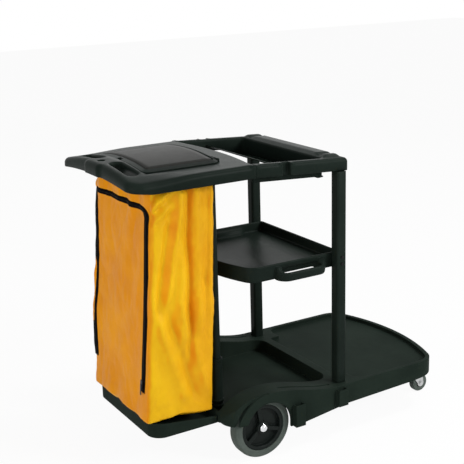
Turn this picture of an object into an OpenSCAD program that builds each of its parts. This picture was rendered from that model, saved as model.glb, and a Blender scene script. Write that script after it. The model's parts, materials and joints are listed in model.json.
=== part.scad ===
// Janitor cart: moulded base on two large rear wheels and two front casters,
// four posts, middle shelf, top tray and a lidded frame that holds a zipped waste bag.
// +X points to the front platform, +Z up; the origin lies on the floor under the middle.

/* [Overall] */
// Length from the push handle to the front of the caster wheels
cart_l = 1168; // [1150:1:1190]
// Outside width of the moulded base
base_w = 570; // [564:1:580]
// Height of the top rim above the floor
rim_z = 933; // [900:1:960]
// Distance from the handle end to the rear axle
handle_reach = 409; // [405:1:415]
// Gap between pieces that only rest against each other
seat_gap = 0.3; // [0.2:0.05:0.5]

/* [Base] */
// Wall of the moulded base
base_wall = 4; // [3.5:0.5:5]
// Height of the rim round the front platform
platform_z = 174; // [170:1:182]
// Height of the front platform floor
platform_floor = 162; // [155:1:164]
// Height of the floor of the middle deck well
deck_floor = 132; // [130:1:136]
// Half width of the middle deck well
deck_half = 210; // [205:1:212]
// Corner radius of the deck well
deck_r = 45; // [20:1:60]
// Corner radius at the rear of the deck well
deck_rear_r = 8; // [4:1:9]
// Height of the arch crown over the rear wheel
crown_z = 217; // [212:1:225]
// How far the base runs behind the axle
base_tail = 125; // [122:1:130]
// Corner radius at the rear of the base
tail_r = 56; // [40:1:58]
// Corner radius at the front of the base
nose_r = 70; // [50:1:90]
// Radius of the bowed front edge of the base
nose_bow_r = 650; // [560:5:800]
// Front wall of the deck well, ahead of the axle
deck_front_dx = 296; // [285:1:305]
// Width of the ridge between the deck well and the platform
ridge_w = 30; // [20:1:36]
// Depth of the groove in the side flange
groove_d = 3; // [2:0.25:4]
// Width of the lip round the front platform
lip_w = 15; // [10:0.5:18]
// Depth that the side skirt stands proud of the arch hump
skirt_proud = 8; // [5:0.5:9]
// Radius of the raised edge round the wheel opening
arch_r = 112; // [108:1:116]
// Radius of the wheel opening in the skirt
arch_hole_r = 82; // [78:1:90]
// Offset of the wheel opening in front of the axle
arch_dx = 13; // [8:1:16]
// Height of the skirt's lowest edge, in front of the wheel
skirt_low = 85; // [75:1:95]
// Height of the skirt's lower edge at the nose
skirt_nose = 128; // [120:1:135]
// Height of the lower edge behind the wheel
tail_low = 132; // [126:1:136]
// First bend of the skirt's lower edge, ahead of the axle
skirt_bend_dx = 150; // [140:1:160]
// Second bend of the skirt's lower edge, ahead of the axle
skirt_step_dx = 321; // [310:1:330]
// Third bend of the skirt's lower edge, ahead of the axle
skirt_knee_dx = 601; // [590:1:610]
// Rise of the skirt's lower edge at its second bend
skirt_step_h = 21; // [15:1:25]
// Rise of the skirt's lower edge at its third bend
skirt_knee_h = 29; // [26:1:34]

/* [Tool sockets] */
// Width of a tool socket on the skirt
socket_w = 36; // [30:1:40]
// How far a socket stands out from the skirt
socket_out = 18; // [16:1:24]
// Height of a tool socket
socket_h = 73; // [60:1:80]
// Wall of a tool socket
socket_wall = 3.5; // [2.5:0.5:5]
// Height of a socket of the front pair
socket_h_front = 56; // [45:1:60]
// Top of the rear pair of sockets
socket_top_rear = 158; // [150:1:160]
// Top of the front pair of sockets
socket_top_front = 166; // [160:1:168]
// Rear pair of sockets, ahead of the axle
socket_dx_rear = 120; // [118:1:130]
// Front pair of sockets, ahead of the axle
socket_dx_front = 288; // [275:1:295]

/* [Rear wheels] */
// Diameter of the rear wheel
wheel_d = 200; // [190:1:203]
// Width of the tyre
tyre_w = 40; // [34:1:42]
// Radial depth of the tyre
tyre_depth = 24; // [16:1:28]
// Rounding of the tyre's shoulders
tyre_round = 9; // [4:0.5:12]
// Gap from the skirt's face in to the tyre
wheel_inset = 17; // [14:0.5:20]
// Depth of the wheel rim inside the tyre
rim_depth = 12; // [8:0.5:16]
// Thickness of the disc behind the spokes
web_t = 5; // [4:0.5:8]
// Width of one of the three spokes
spoke_w = 13; // [8:0.5:18]
// Radius of the wheel's hub
hub_r = 20; // [16:0.5:24]
// Diameter of the axle
axle_d = 16; // [12:0.5:18]
// Running clearance of a wheel on its axle, on the radius
run_gap = 0.08; // [0.02:0.01:0.1]
// Radius of the cap nut
cap_r = 13; // [11:0.5:16]
// Width of an axle bracket
bracket_w = 22; // [16:1:26]
// Metal of an axle bracket round the axle
bracket_rim = 12; // [8:0.5:13]
// Turn of the first spoke, in degrees
spoke_turn = 20; // [0:1:60]

/* [Casters] */
// Diameter of the caster wheel
caster_d = 64; // [58:1:66]
// Width of the caster wheel
caster_w = 24; // [18:1:26]
// How far the caster wheels stand ahead of the base
caster_over = 14; // [6:1:18]
// Half spacing of the two casters
caster_y = 160; // [150:1:162]
// Forward offset of the wheel from its pivot
caster_trail = 38; // [32:1:40]
// Height of the caster's mounting plate
caster_plate_z = 94; // [90:1:104]
// Thickness of the fork's metal
fork_t = 3; // [2:0.25:4]
// Diameter of the caster's axle bolt
caster_pin_d = 8; // [6:0.5:10]
// Diameter of the king pin
king_d = 10; // [8:0.5:12]
// Radius of the ring under a caster's plate
race_r = 18.5; // [16:0.5:18.5]
// Radius of the fork's round crown
fork_crown_r = 21; // [18:0.5:23]
// Screws of a caster's plate, in from the pad's sides
caster_screw_in = 11; // [10:0.5:11]

/* [Posts] */
// Front posts, ahead of the axle
front_post_dx = 307; // [302:1:312]
// Middle of a front post, in from the side of the top
post_in = 9; // [7:0.5:11]
// Side of a front post
post_w = 36; // [32:1:38]
// Corner radius of a front post
post_r = 8; // [4:0.5:12]
// Wall of a post
post_wall = 3; // [2:0.25:4]
// Length of the spigot inside a post
spigot_l = 45; // [25:1:60]
// Rear posts, behind the axle
rear_post_dx = 84; // [82:1:86]
// Half spacing of the rear posts
rear_post_y = 135; // [125:1:150]
// Diameter of a rear post
rear_post_d = 26; // [22:0.5:28]
// Diameter of a rear post's socket
tower_d = 40; // [36:1:41]
// Height of the top of that socket
tower_top = 310; // [260:1:340]
// Diameter of the brace between the rear posts
brace_d = 20; // [16:0.5:24]

/* [Shelf] */
// Height of the shelf's underside
shelf_z = 564; // [450:1:640]
// Height of the shelf's rim
shelf_h = 46; // [40:1:60]
// Wall of the shelf
shelf_wall = 4; // [3:0.5:6]
// Radius of the shelf's bowed rear edge
shelf_bow_r = 546; // [500:1:580]
// Rear end of the shelf's bow, from the axle
shelf_rear_dx = -55; // [-58:1:-50]
// Middle of a hand loop, ahead of the axle
loop_dx = 170; // [160:1:178]
// Length of a hand loop
loop_l = 172; // [140:1:178]
// How far a hand loop stands out from the shelf
loop_out = 36; // [32:1:40]
// Width of the bar of a hand loop
loop_bar = 12; // [10:0.5:13]
// Depth of a hand loop
loop_h = 52; // [30:1:56]

/* [Top] */
// Half width of the tray and the bag frame
top_half = 256; // [252:1:260]
// Height of the rim's side wall
rim_h = 40; // [30:1:50]
// Wall of the top mouldings
top_wall = 5; // [4:0.5:7]
// Thickness of the top deck
top_deck = 6; // [4:0.5:8]
// Joint between the bag frame and the tray, from the axle
seam_dx = 0; // [-6:1:6]
// Front end of the tray, ahead of the axle
tray_front_dx = 340; // [336:1:350]
// Width of the tray's side rails
rail_w = 27; // [25:1:40]
// Wall of the tray's well
well_wall = 4; // [3:0.5:5]
// Rear wall of the bottle well, ahead of the axle
divider_dx = 132; // [120:1:150]
// Front wall of the bottle well, ahead of the axle
well_front_dx = 257; // [245:1:265]
// Height of the bottle well's floor
well_floor = 871; // [850:1:880]
// Height of the sloping divider above that floor
divider_h = 34; // [15:1:40]
// Run of the divider's slope, along the cart
divider_run = 64; // [40:1:70]
// Width of the tool notch in the tray's rail
notch_w = 28; // [20:1:34]
// Depth of the tool notch
notch_d = 16; // [10:0.5:18]
// Middle of the tool notch, ahead of the axle
notch_dx = 113; // [100:1:130]
// Fall of the tray towards the front, in degrees
tray_fall = 3.4; // [0:0.1:4]
// Corner radius at the front of the tray
tray_r = 12; // [6:1:20]

/* [Bag frame] */
// Corner radius at the handle end
handle_r = 45; // [30:1:55]
// Rise of the handle's top in the middle
handle_crown = 21; // [10:1:24]
// Height of the handle's rear face at its corners
handle_h = 29; // [24:1:34]
// Rise of the handle's lower edge in the middle
handle_arch = 12; // [6:1:14]
// How far the boss stands out from the handle's rear face
boss_out = 7; // [4:0.5:8]
// Width of that boss
boss_w = 92; // [70:1:110]
// How far the frame's front edge bows into the tool gap
frame_bow = 22; // [10:1:26]
// Rear edge of the bag opening, from the axle
mouth_rear_dx = -298; // [-300:1:-285]
// Front edge of the bag opening, from the axle
mouth_front_dx = -112; // [-130:1:-110]
// Half width of the bag opening
mouth_half = 150; // [140:1:152]
// Corner radius of the bag opening
mouth_r = 20; // [10:1:40]
// Width of a hand slot, along the cart
grip_w = 38; // [34:1:40]
// Length of a hand slot, across the cart
grip_l = 138; // [110:1:144]
// Width of the grip bar behind a hand slot
grip_bar = 29; // [26:1:30]
// Middle of a hand slot from the centre line
grip_y = 113; // [105:1:118]
// Radius of the round hole in the handle
hang_r = 11; // [8:0.5:14]

/* [Lid] */
// Rear edge of the lid, from the axle
lid_rear_dx = -318; // [-320:1:-310]
// Front edge of the lid, from the axle
lid_front_dx = -66; // [-75:1:-64]
// Half width of the lid
lid_half = 166; // [160:1:170]
// Corner radius of the lid
lid_r = 22; // [10:1:30]
// Thickness of the lid's edge
lid_edge = 10; // [8:0.5:12]
// Rise of the lid's top in the middle
lid_crown = 14; // [8:0.5:18]
// Wall of the lid
lid_wall = 4; // [3:0.5:5]
// Half spacing of the two lid hinges
hinge_y = 120; // [80:1:150]
// Width of a lid hinge
hinge_w = 40; // [30:1:60]
// Radius of a hinge knuckle
knuckle_r = 5; // [4:0.25:5.5]
// Diameter of a hinge pin
hinge_pin_d = 4; // [3:0.25:5]

/* [Bag] */
// Thickness of the bag's cloth and lining
bag_t = 2; // [1.5:0.25:3]
// Half width of the bag at the top
bag_half_top = 202; // [198:1:204]
// Half width of the bag at the bottom
bag_half_low = 198; // [190:1:199]
// Rear of the bag at the top, from the axle
bag_rear_top = -312; // [-314:1:-310]
// Front of the bag at the top, from the axle
bag_front_top = -108; // [-112:1:-107]
// Rear of the bag at the bottom, from the axle
bag_rear_low = -362; // [-364:1:-356]
// Front of the bag at the bottom, from the axle
bag_front_low = -134; // [-138:1:-131]
// Rounding of the bag's upright edges
bag_r = 32; // [30:1:36]
// Height of the bag's bottom over the platform's rear rim
bag_lift = 5; // [3:1:15]
// Depth of the bag's hem inside a clip
hem_grip = 14; // [8:1:20]
// Length of a bag clip
clip_l = 34; // [20:1:50]
// Wall of a bag clip
clip_wall = 3; // [2:0.5:4]
// Height of a bag clip
clip_h = 22; // [20:1:26]
// Clips on the sides, from the middle of the bag
clip_side_dx = 48; // [30:1:52]
// Clips along the back, from the centre line
clip_rear_y = 120; // [60:1:130]
// Clips along the front, from the centre line
clip_front_y = 90; // [60:1:130]

/* [Zip] */
// Width of the zip tape
zip_w = 13; // [8:0.5:18]
// Thickness of the zip tape
zip_t = 1.6; // [1:0.1:2.5]
// Half spacing of the zip's two legs at the top
zip_half = 168; // [155:1:168]
// Lower end of the right leg, from the centre line
zip_lean = 160; // [120:1:168]
// Height of the zip's lower ends along the bag's back
zip_low = 90; // [60:1:150]
// Distance from the hem down to the zip's cross run
zip_drop = 89; // [75:1:150]
// Radius of the zip's two upper corners
zip_corner = 34; // [20:1:60]
// Gap between the zip tape and the bag's back
zip_seat = 0.1; // [0.05:0.05:0.3]
// Length of the slider
slider_l = 26; // [18:1:34]

/* [Bag platform] */
// Rear end of the bag platform, from the axle
tail_tray_dx = -347; // [-352:1:-346]
// Half width of the bag platform
tail_tray_half = 205; // [203:1:208]
// Rim height at the rear end of the platform
tail_rim_rear = 177; // [170:1:186]
// Rim height where the platform meets the base
tail_rim_front = 149; // [146:1:152]
// Corner radius at the rear of the platform
tail_tray_r = 45; // [30:1:52]
// Wall of the bag platform
tail_wall = 5; // [3:0.5:5.5]

/* [Fasteners] */
// Radius of a screw head
screw_r = 5; // [4:0.25:6]
// Height of a screw head
screw_h = 3; // [2:0.25:4]
// Thickness of the steel straps
strap_t = 4; // [3:0.5:5]
// Lower screws of the shelf, above its underside
shelf_screw_low = 14; // [10:1:18]
// Upper screws of the shelf, above its underside
shelf_screw_high = 36; // [30:1:39]

/* [Hidden] */
$fn = 64;

plastic = [0.13, 0.14, 0.13];
steel = [0.72, 0.73, 0.74];
rubber = [0.50, 0.53, 0.50];
nylon = [0.93, 0.66, 0.10];
tape = [0.05, 0.05, 0.06];
far = 2000;

base_half = base_w / 2;
front_x = cart_l / 2 - caster_over;
axle_x = handle_reach - cart_l / 2;
axle_z = wheel_d / 2;
tail_x = axle_x - base_tail;
deck_x0 = tail_x + base_wall;
deck_x1 = axle_x + deck_front_dx;
crown_dx = 15;
post_foot = 6;
slope_run = front_post_dx - post_w / 2 - post_foot - crown_dx;
tail_z = 150;
deck_under = deck_floor - base_wall;
arch_x = axle_x + arch_dx;
arch_lift = 4;
arch_z = axle_z + arch_lift;
nose_turn = asin((base_half - nose_r) / (nose_bow_r - nose_r));
nose_x = front_x - nose_bow_r + (nose_bow_r - nose_r) * cos(nose_turn);
wheel_room = 9;
house_r = wheel_d / 2 + wheel_room;
wheel_out = base_half - wheel_inset;
wheel_in = wheel_out - tyre_w;
house_in = wheel_in - wheel_room;
tyre_in_r = wheel_d / 2 - tyre_depth;
bracket_out = wheel_in - seat_gap;
bracket_in = bracket_out - bracket_w;
front_post_y = top_half - post_in;
well_half = top_half - rail_w;
post_front_x = axle_x + front_post_dx;
post_rear_x = axle_x - rear_post_dx;
deck_top_under = rim_z - top_deck;
tower_floor = 12;
rear_post_low = deck_floor + tower_floor;
brace_up = 14;
brace_z = shelf_z + brace_up;
shelf_half = front_post_y - post_w / 2;
shelf_front = post_front_x + post_w / 2;
shelf_rear = axle_x + shelf_rear_dx;
shelf_corner = 60;
seam_x = axle_x + seam_dx;
tray_front = axle_x + tray_front_dx;
handle_x = -cart_l / 2;
handle_face = handle_x + boss_out;
grip_x = handle_face + grip_bar + grip_w / 2;
hang_x = handle_face + grip_bar;
lid_z = rim_z + seat_gap;
lid_rear = axle_x + lid_rear_dx;
lid_front = axle_x + lid_front_dx;
hinge_off = 2;
hinge_x = lid_front + knuckle_r + hinge_off;
hinge_z = rim_z + knuckle_r + seat_gap;
knuckle_gap = 0.4;
lug_w = 8;
hem_top = deck_top_under - clip_h + hem_grip;
bag_low = tail_rim_rear + bag_lift;
bag_run = hem_top - bag_low;
bag_tilt = atan((bag_rear_top - bag_rear_low) / bag_run);
zip_high = bag_run - zip_drop;
zip_turn = zip_high - zip_corner;
zip_slant = atan((zip_half - zip_lean) / (zip_turn - zip_low));
caster_axle_x = cart_l / 2 - caster_d / 2;
caster_x = caster_axle_x - caster_trail;
caster_axle_z = caster_d / 2;
platform_under = platform_floor - base_wall;
race_h = 6;
plate_t = 4;
race_z = caster_plate_z - plate_t - race_h;
fork_top = race_z - seat_gap;
fork_gap = 1;
fork_in = caster_w / 2 + fork_gap;
pad_w = 56;
plate_in = 4;
brace_len = 2 * rear_post_y - rear_post_d;
tray_drop = (front_post_dx - seam_dx) * tan(tray_fall);
strap_w = 40;
strap_reach = 62;
strap_hole = strap_reach * 0.6;
strap_y = 120;
tongue_w = 90;
splice_w = 10;
splice_l = 110;
grip_wall = 4;
handle_gap = 2;

// Lower edge of the skirt, from the nose back to the wheel
skirt_line = [[front_x, skirt_nose], [axle_x + skirt_knee_dx, skirt_low + skirt_knee_h],
    [axle_x + skirt_step_dx, skirt_low + skirt_step_h], [axle_x + skirt_bend_dx, skirt_low],
    [arch_x, skirt_low], [arch_x, tail_low], [tail_x, tail_low]];

// Height of the slope and platform rim ahead of the crown
function rim_line(dx) =
    dx >= crown_dx + slope_run ? platform_z
    : platform_z + (crown_z - platform_z) * (1 + cos(180 * (dx - crown_dx) / slope_run)) / 2;

// Plate outline with its own corner radius at each end
module outline(x0, x1, half, r0, r1) {
    translate([x0 + r0, -half]) square([x1 - x0 - r0 - r1, 2 * half]);
    translate([x0, r0 - half]) square([r0, 2 * (half - r0)]);
    translate([x1 - r1, r1 - half]) square([r1, 2 * (half - r1)]);
    for (s = [-1, 1]) {
        translate([x0 + r0, s * (half - r0)]) circle(r0);
        translate([x1 - r1, s * (half - r1)]) circle(r1);
    }
}

module slab(z0, z1) {
    translate([0, 0, z0]) linear_extrude(z1 - z0) children();
}

// Extrude an X-Z drawing across the cart from y0 to y1
module across(y0, y1) {
    translate([0, y1, 0]) rotate([90, 0, 0]) linear_extrude(y1 - y0) children();
}

module both_sides() {
    children();
    mirror([0, 1, 0]) children();
}

// Plan of the base with its bowed front, drawn in by an inset
module base_plan(x0, inset, rear_r) {
    half = base_half - inset;
    outline(x0, nose_x + nose_r - inset, half, rear_r, nose_r - inset);
    intersection() {
        translate([front_x - nose_bow_r, 0]) circle(nose_bow_r - inset, $fn = 180);
        translate([nose_x - nose_r, -(nose_bow_r - inset) * sin(nose_turn)])
            square([far, 2 * (nose_bow_r - inset) * sin(nose_turn)]);
    }
}

// Side drawing of the base, from the tail to the nose
module base_drawing(drop, low) {
    steps = 16;
    tail_run = base_tail + crown_dx;
    polygon(concat(
        [for (i = [0 : steps]) let (a = 90 - 90 * i / steps)
            [axle_x + crown_dx - tail_run * sin(a), tail_z + (crown_z - tail_z) * cos(a) - drop]],
        [for (i = [1 : steps]) let (dx = crown_dx + slope_run * i / steps)
            [axle_x + dx, rim_line(dx) - drop]],
        [[front_x, platform_z - drop]],
        low ? skirt_line : [[front_x, 0], [tail_x, 0]]));
}

module skirt_drawing() {
    intersection() {
        union() {
            translate([arch_x, arch_z]) circle(arch_r);
            translate([arch_x, 0]) square([far, far]);
        }
        base_drawing(0, true);
    }
}

module wheel_cut(r) {
    translate([arch_x, arch_z]) circle(r);
    translate([arch_x - r, -1]) square([2 * r, arch_z + 1]);
}

module house_cut(r) {
    translate([axle_x, axle_z]) circle(r);
    translate([axle_x - r, -1]) square([2 * r, axle_z + 1]);
}

module recess_plan(grow) {
    neck = 40;
    neck_r = 10;
    post_front = post_front_x + post_w / 2;
    outline(deck_x1 + ridge_w - grow, post_front + 2 * neck, deck_half - neck / 2 + grow, neck_r, neck_r);
    base_plan(post_front + neck - grow, lip_w - grow, neck);
}

module tub_plan(grow) {
    outline(deck_x0 - grow, deck_x1 + grow, deck_half + grow, deck_rear_r, deck_r + grow);
}

module base_body() {
    intersection() {
        slab(0, crown_z + 1) base_plan(tail_x, 0, tail_r);
        union() {
            across(skirt_proud - base_half, base_half - skirt_proud) base_drawing(0, true);
            across(-base_half, base_half) skirt_drawing();
        }
    }
    slab(deck_under, tail_z - 1) tub_plan(base_wall);
}

module base_void() {
    difference() {
        intersection() {
            slab(-1, crown_z) base_plan(tail_x + base_wall, skirt_proud + base_wall, tail_r - base_wall);
            across(-base_half, base_half) base_drawing(base_wall + groove_d, false);
        }
        slab(deck_under, far) tub_plan(base_wall);
        slab(platform_under, far) recess_plan(base_wall);
        both_sides() across(house_in - base_wall, base_half) intersection() {
            house_cut(house_r + base_wall);
            translate([axle_x - far, tail_low]) square([2 * far, far]);
        }
        both_sides() caster_pad();
    }
}

// Shallow groove along the top of the side flange
module flange_groove() {
    rear_dx = 62;
    groove_l = 200;
    groove_in = 34;
    groove_w = 9;
    across(base_half - groove_in, base_half - groove_in + groove_w) difference() {
        translate([axle_x + rear_dx, platform_z - groove_in]) square([groove_l, 3 * groove_in]);
        base_drawing(groove_d, false);
    }
}

module caster_pad() {
    high = platform_under - caster_plate_z;
    inner = pad_w - 2 * base_wall;
    translate([caster_x, caster_y, caster_plate_z]) difference() {
        translate([-pad_w / 2, -pad_w / 2, 0]) cube([pad_w, pad_w, high + 1]);
        translate([-inner / 2, -inner / 2, base_wall]) cube([inner, inner, high - base_wall]);
    }
}

// Open box on the skirt that takes the foot of a broom or mop handle
module tool_socket(dx, top, high) {
    x = axle_x + dx;
    difference() {
        translate([x - socket_w / 2, base_half - 1, top - high]) cube([socket_w, socket_out + 1, high]);
        translate([x - socket_w / 2 + socket_wall, base_half, top - high + socket_wall])
            cube([socket_w - 2 * socket_wall, socket_out - socket_wall, high]);
    }
}

module post_spigot() {
    inner = post_w - 2 * post_wall - 2 * seat_gap;
    r = post_r - post_wall;
    translate([post_front_x, front_post_y]) for (p = [[inner, inner - 2 * r], [inner - 2 * r, inner]])
        translate([-p[0] / 2, -p[1] / 2]) square(p);
    translate([post_front_x, front_post_y]) for (sx = [-1, 1], sy = [-1, 1])
        translate([sx * (inner / 2 - r), sy * (inner / 2 - r)]) circle(r);
}

module base_deck() {
    color(plastic) {
        difference() {
            union() {
                base_body();
                both_sides() tool_socket(socket_dx_rear, socket_top_rear, socket_h);
                both_sides() tool_socket(socket_dx_front, socket_top_front, socket_h_front);
                both_sides() slab(platform_z - 1, platform_z + spigot_l) post_spigot();
                both_sides() caster_pad();
            }
            slab(deck_floor, far) tub_plan(0);
            slab(platform_floor, far) recess_plan(0);
            both_sides() flange_groove();
            both_sides() across(base_half - skirt_proud - 1, base_half + 1) wheel_cut(arch_hole_r);
            both_sides() across(house_in, base_half - skirt_proud) house_cut(house_r);
            base_void();
            both_sides() strap_notch();
        }
    }
}

// Room in the base's rear wall for a platform strap
module strap_notch() {
    translate([tail_x - 1, strap_y - strap_w / 2 - seat_gap, 0])
        cube([base_wall + 2, strap_w + 2 * seat_gap, deck_under]);
}

module bag_platform() {
    x0 = axle_x + tail_tray_dx;
    front_r = 4;
    color(plastic) difference() {
        intersection() {
            slab(deck_under, far) outline(x0, tail_x, tail_tray_half, tail_tray_r, front_r);
            across(-far, far) polygon([[x0, deck_under], [tail_x, deck_under],
                [tail_x, tail_rim_front], [x0, tail_rim_rear]]);
        }
        slab(deck_floor, far)
            outline(x0 + tail_wall, tail_x + far, tail_tray_half - tail_wall,
                tail_tray_r - tail_wall, front_r);
    }
}

// Flat bars under the deck that carry the bag platform
module platform_straps() {
    color(steel) both_sides() difference() {
        translate([tail_x - strap_reach, strap_y - strap_w / 2, deck_under - strap_t])
            cube([2 * strap_reach, strap_w, strap_t]);
        for (s = [-1, 1]) translate([tail_x + s * strap_hole, strap_y, deck_under - strap_t - 1])
            cylinder(h = strap_t + 2, r = screw_r / 2 + seat_gap);
    }
}

module strap_screws() {
    color(steel) both_sides() for (s = [-1, 1])
        translate([tail_x + s * strap_hole, strap_y, deck_under - strap_t - screw_h]) {
            cylinder(h = screw_h, r = screw_r);
            cylinder(h = screw_h + strap_t, r = screw_r / 2);
        }
}

module axle_brackets() {
    half = axle_d / 2 + bracket_rim;
    color(steel) both_sides() difference() {
        union() {
            translate([axle_x - half, bracket_in, axle_z]) cube([2 * half, bracket_w, deck_under - axle_z]);
            translate([axle_x, bracket_in, axle_z]) rotate([-90, 0, 0]) cylinder(h = bracket_w, r = half);
        }
        translate([axle_x, bracket_in - 1, axle_z]) rotate([-90, 0, 0])
            cylinder(h = bracket_w + 2, r = axle_d / 2 + run_gap);
        across(house_in - base_wall - seat_gap, base_half)
            translate([axle_x - far, tail_low - seat_gap]) square([2 * far, far]);
    }
}

module rear_axle() {
    color(steel) translate([axle_x, -wheel_out, axle_z]) rotate([-90, 0, 0])
        cylinder(h = 2 * wheel_out, r = axle_d / 2);
}

// Turn a piece of the tray down towards the front about its joint with the frame
module tray_slope() {
    translate([seam_x, 0, rim_z]) rotate([0, tray_fall, 0]) translate([-seam_x, 0, -rim_z]) children();
}

module above_tray(z) {
    tray_slope() translate([-far, -far, z]) cube(2 * far);
}

// Everything outside a line along the tray's rail, from the rail's lower edge up
module beside_rail(y, gap) {
    tray_slope() translate([-far, y - gap, rim_z - rim_h - gap]) cube(2 * far);
}

module front_post() {
    color(plastic) difference() {
        slab(platform_z, rim_z) difference() {
            post_plan(post_w, post_r);
            post_plan(post_w - 2 * post_wall, post_r - post_wall);
        }
        above_tray(deck_top_under);
        beside_rail(top_half - top_wall, seat_gap);
    }
}

module post_plan(w, r) {
    translate([post_front_x, front_post_y]) {
        for (p = [[w, w - 2 * r], [w - 2 * r, w]]) translate([-p[0] / 2, -p[1] / 2]) square(p);
        for (sx = [-1, 1], sy = [-1, 1]) translate([sx * (w / 2 - r), sy * (w / 2 - r)]) circle(r);
    }
}

module front_post_left() { front_post(); }
module front_post_right() { mirror([0, 1, 0]) front_post(); }

module rear_post() {
    color(plastic) difference() {
        translate([post_rear_x, rear_post_y, rear_post_low])
            cylinder(h = deck_top_under - rear_post_low, d = rear_post_d);
        translate([post_rear_x, rear_post_y, rear_post_low - 1])
            cylinder(h = deck_top_under - rear_post_low + 2, d = rear_post_d - 2 * post_wall);
    }
}

module rear_post_left() { rear_post(); }
module rear_post_right() { mirror([0, 1, 0]) rear_post(); }

// Ribbed socket that stands on the deck and takes a rear post
module post_tower() {
    ribs = 3;
    rib_h = 8;
    rib_out = 3;
    color(plastic) translate([post_rear_x, rear_post_y, deck_floor]) difference() {
        union() {
            cylinder(h = tower_top - deck_floor, d = tower_d - 2 * rib_out);
            for (i = [0 : ribs - 1]) translate([0, 0, i * 2 * rib_h]) cylinder(h = rib_h, d = tower_d);
            translate([0, 0, tower_top - deck_floor - rib_h]) cylinder(h = rib_h, d = tower_d - rib_out);
        }
        translate([0, 0, rear_post_low - deck_floor]) cylinder(h = far, d = rear_post_d + 2 * seat_gap);
    }
}

module post_tower_left() { post_tower(); }
module post_tower_right() { mirror([0, 1, 0]) post_tower(); }

module rear_brace() {
    color(plastic) translate([post_rear_x, 0, brace_z]) rotate([-90, 0, 0]) difference() {
        translate([0, 0, -brace_len / 2]) cylinder(h = brace_len, d = brace_d);
        both_brace_ends();
    }
}

// Hollows that let the brace fit round the posts
module both_brace_ends() {
    for (s = [-1, 1]) translate([0, -brace_d, s * rear_post_y]) rotate([-90, 0, 0])
        cylinder(h = 2 * brace_d, d = rear_post_d + 2 * seat_gap);
}

module shelf_plan(inset) {
    bow_room = 4;
    front_r = 14;
    intersection() {
        translate([shelf_rear + shelf_bow_r, 0]) circle(shelf_bow_r - inset, $fn = 180);
        outline(shelf_rear - bow_room + inset, shelf_front - inset, shelf_half - inset,
            shelf_corner - inset, front_r - inset);
    }
}

// Hand loop on the side of the shelf, with its slot
module shelf_loop() {
    x = axle_x + loop_dx;
    out = shelf_half + loop_out;
    loop_r = loop_out - 6;
    end_w = loop_bar + 8;
    slot_r = 12;
    slot_in = 4;
    difference() {
        slab(shelf_z + shelf_h - loop_h, shelf_z + shelf_h) intersection() {
            outline(x - loop_l / 2, x + loop_l / 2, out, loop_r, loop_r);
            translate([x - far / 2, shelf_half - 1]) square([far, far]);
        }
        slab(0, far) intersection() {
            outline(x - loop_l / 2 + end_w, x + loop_l / 2 - end_w, out - loop_bar, slot_r, slot_r);
            translate([x - far / 2, shelf_half + slot_in]) square([far, far]);
        }
    }
}

module mid_shelf() {
    tongue_h = brace_d + 8;
    color(plastic) difference() {
        union() {
            slab(shelf_z, shelf_z + shelf_h) shelf_plan(0);
            both_sides() shelf_loop();
            translate([post_rear_x - brace_d / 2, -tongue_w / 2, brace_z - tongue_h / 2])
                cube([shelf_rear - post_rear_x + brace_d, tongue_w, tongue_h]);
        }
        slab(shelf_z + shelf_wall, far) shelf_plan(shelf_wall);
        translate([post_rear_x, -far, brace_z]) rotate([-90, 0, 0])
            cylinder(h = 2 * far, d = brace_d + 2 * seat_gap);
        translate([post_rear_x - far, -far, 0]) cube([far, 2 * far, far]);
    }
}

module shelf_screws() {
    color(steel) both_sides() for (dz = [shelf_screw_low, shelf_screw_high])
        translate([post_front_x, front_post_y + post_w / 2, shelf_z + dz]) rotate([-90, 0, 0])
            cylinder(h = screw_h, r = screw_r);
}

// Hollow rail cross-section swept along the tray's outline
module tray_shell() {
    slab(deck_top_under, rim_z) tray_plan(0);
    slab(rim_z - rim_h, rim_z) difference() {
        tray_plan(0);
        tray_plan(top_wall);
    }
}

module tray_plan(inset) {
    outline(seam_x - rim_h, tray_front - inset, top_half - inset, 1, tray_r - inset);
}

module well_plan(x0, grow) {
    translate([x0, -well_half - grow]) square([axle_x + well_front_dx + grow - x0, 2 * (well_half + grow)]);
}

module notch_box(grow) {
    translate([axle_x + notch_dx - notch_w / 2 - grow, top_half - notch_d - grow])
        square([notch_w + 2 * grow, far]);
}

// Room inside the bottle well, drawn in X and Z, with its sloping back
module well_section() {
    x0 = axle_x + divider_dx;
    x1 = axle_x + well_front_dx;
    polygon([[x0, well_floor + divider_h], [x0 + divider_run, well_floor], [x1, well_floor],
        [x1, far], [x0, far]]);
}

module under_divider() {
    x0 = axle_x + divider_dx;
    low = well_floor - well_wall;
    polygon([[x0, low + divider_h], [x0 + divider_run, low], [x0 + divider_run, low - 1], [x0, low - 1]]);
}

module top_tray() {
    notch_wall = 3;
    color(plastic) difference() {
        union() {
            tray_slope() difference() {
                union() {
                    tray_shell();
                    slab(well_floor - well_wall, rim_z) well_plan(seam_x, well_wall);
                    both_sides() slab(rim_z - rim_h, rim_z) intersection() {
                        notch_box(notch_wall);
                        tray_plan(0);
                    }
                }
                across(-well_half, well_half) well_section();
                across(-well_half, well_half) under_divider();
                slab(well_floor + divider_h, far) well_plan(seam_x - rim_h, 0);
                slab(-1, far) intersection() {
                    well_plan(seam_x - rim_h, 0);
                    translate([seam_x - far, -far]) square([axle_x + divider_dx - seam_x + far, 2 * far]);
                }
                both_sides() slab(-1, far) notch_box(0);
            }
            both_sides() difference() {
                slab(deck_top_under - tray_drop - spigot_l, rim_z) post_spigot();
                above_tray(deck_top_under + 1);
                beside_rail(top_half, 0);
            }
        }
        translate([seam_x - far, -far, 0]) cube([far, 2 * far, 2 * far]);
    }
}

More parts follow.
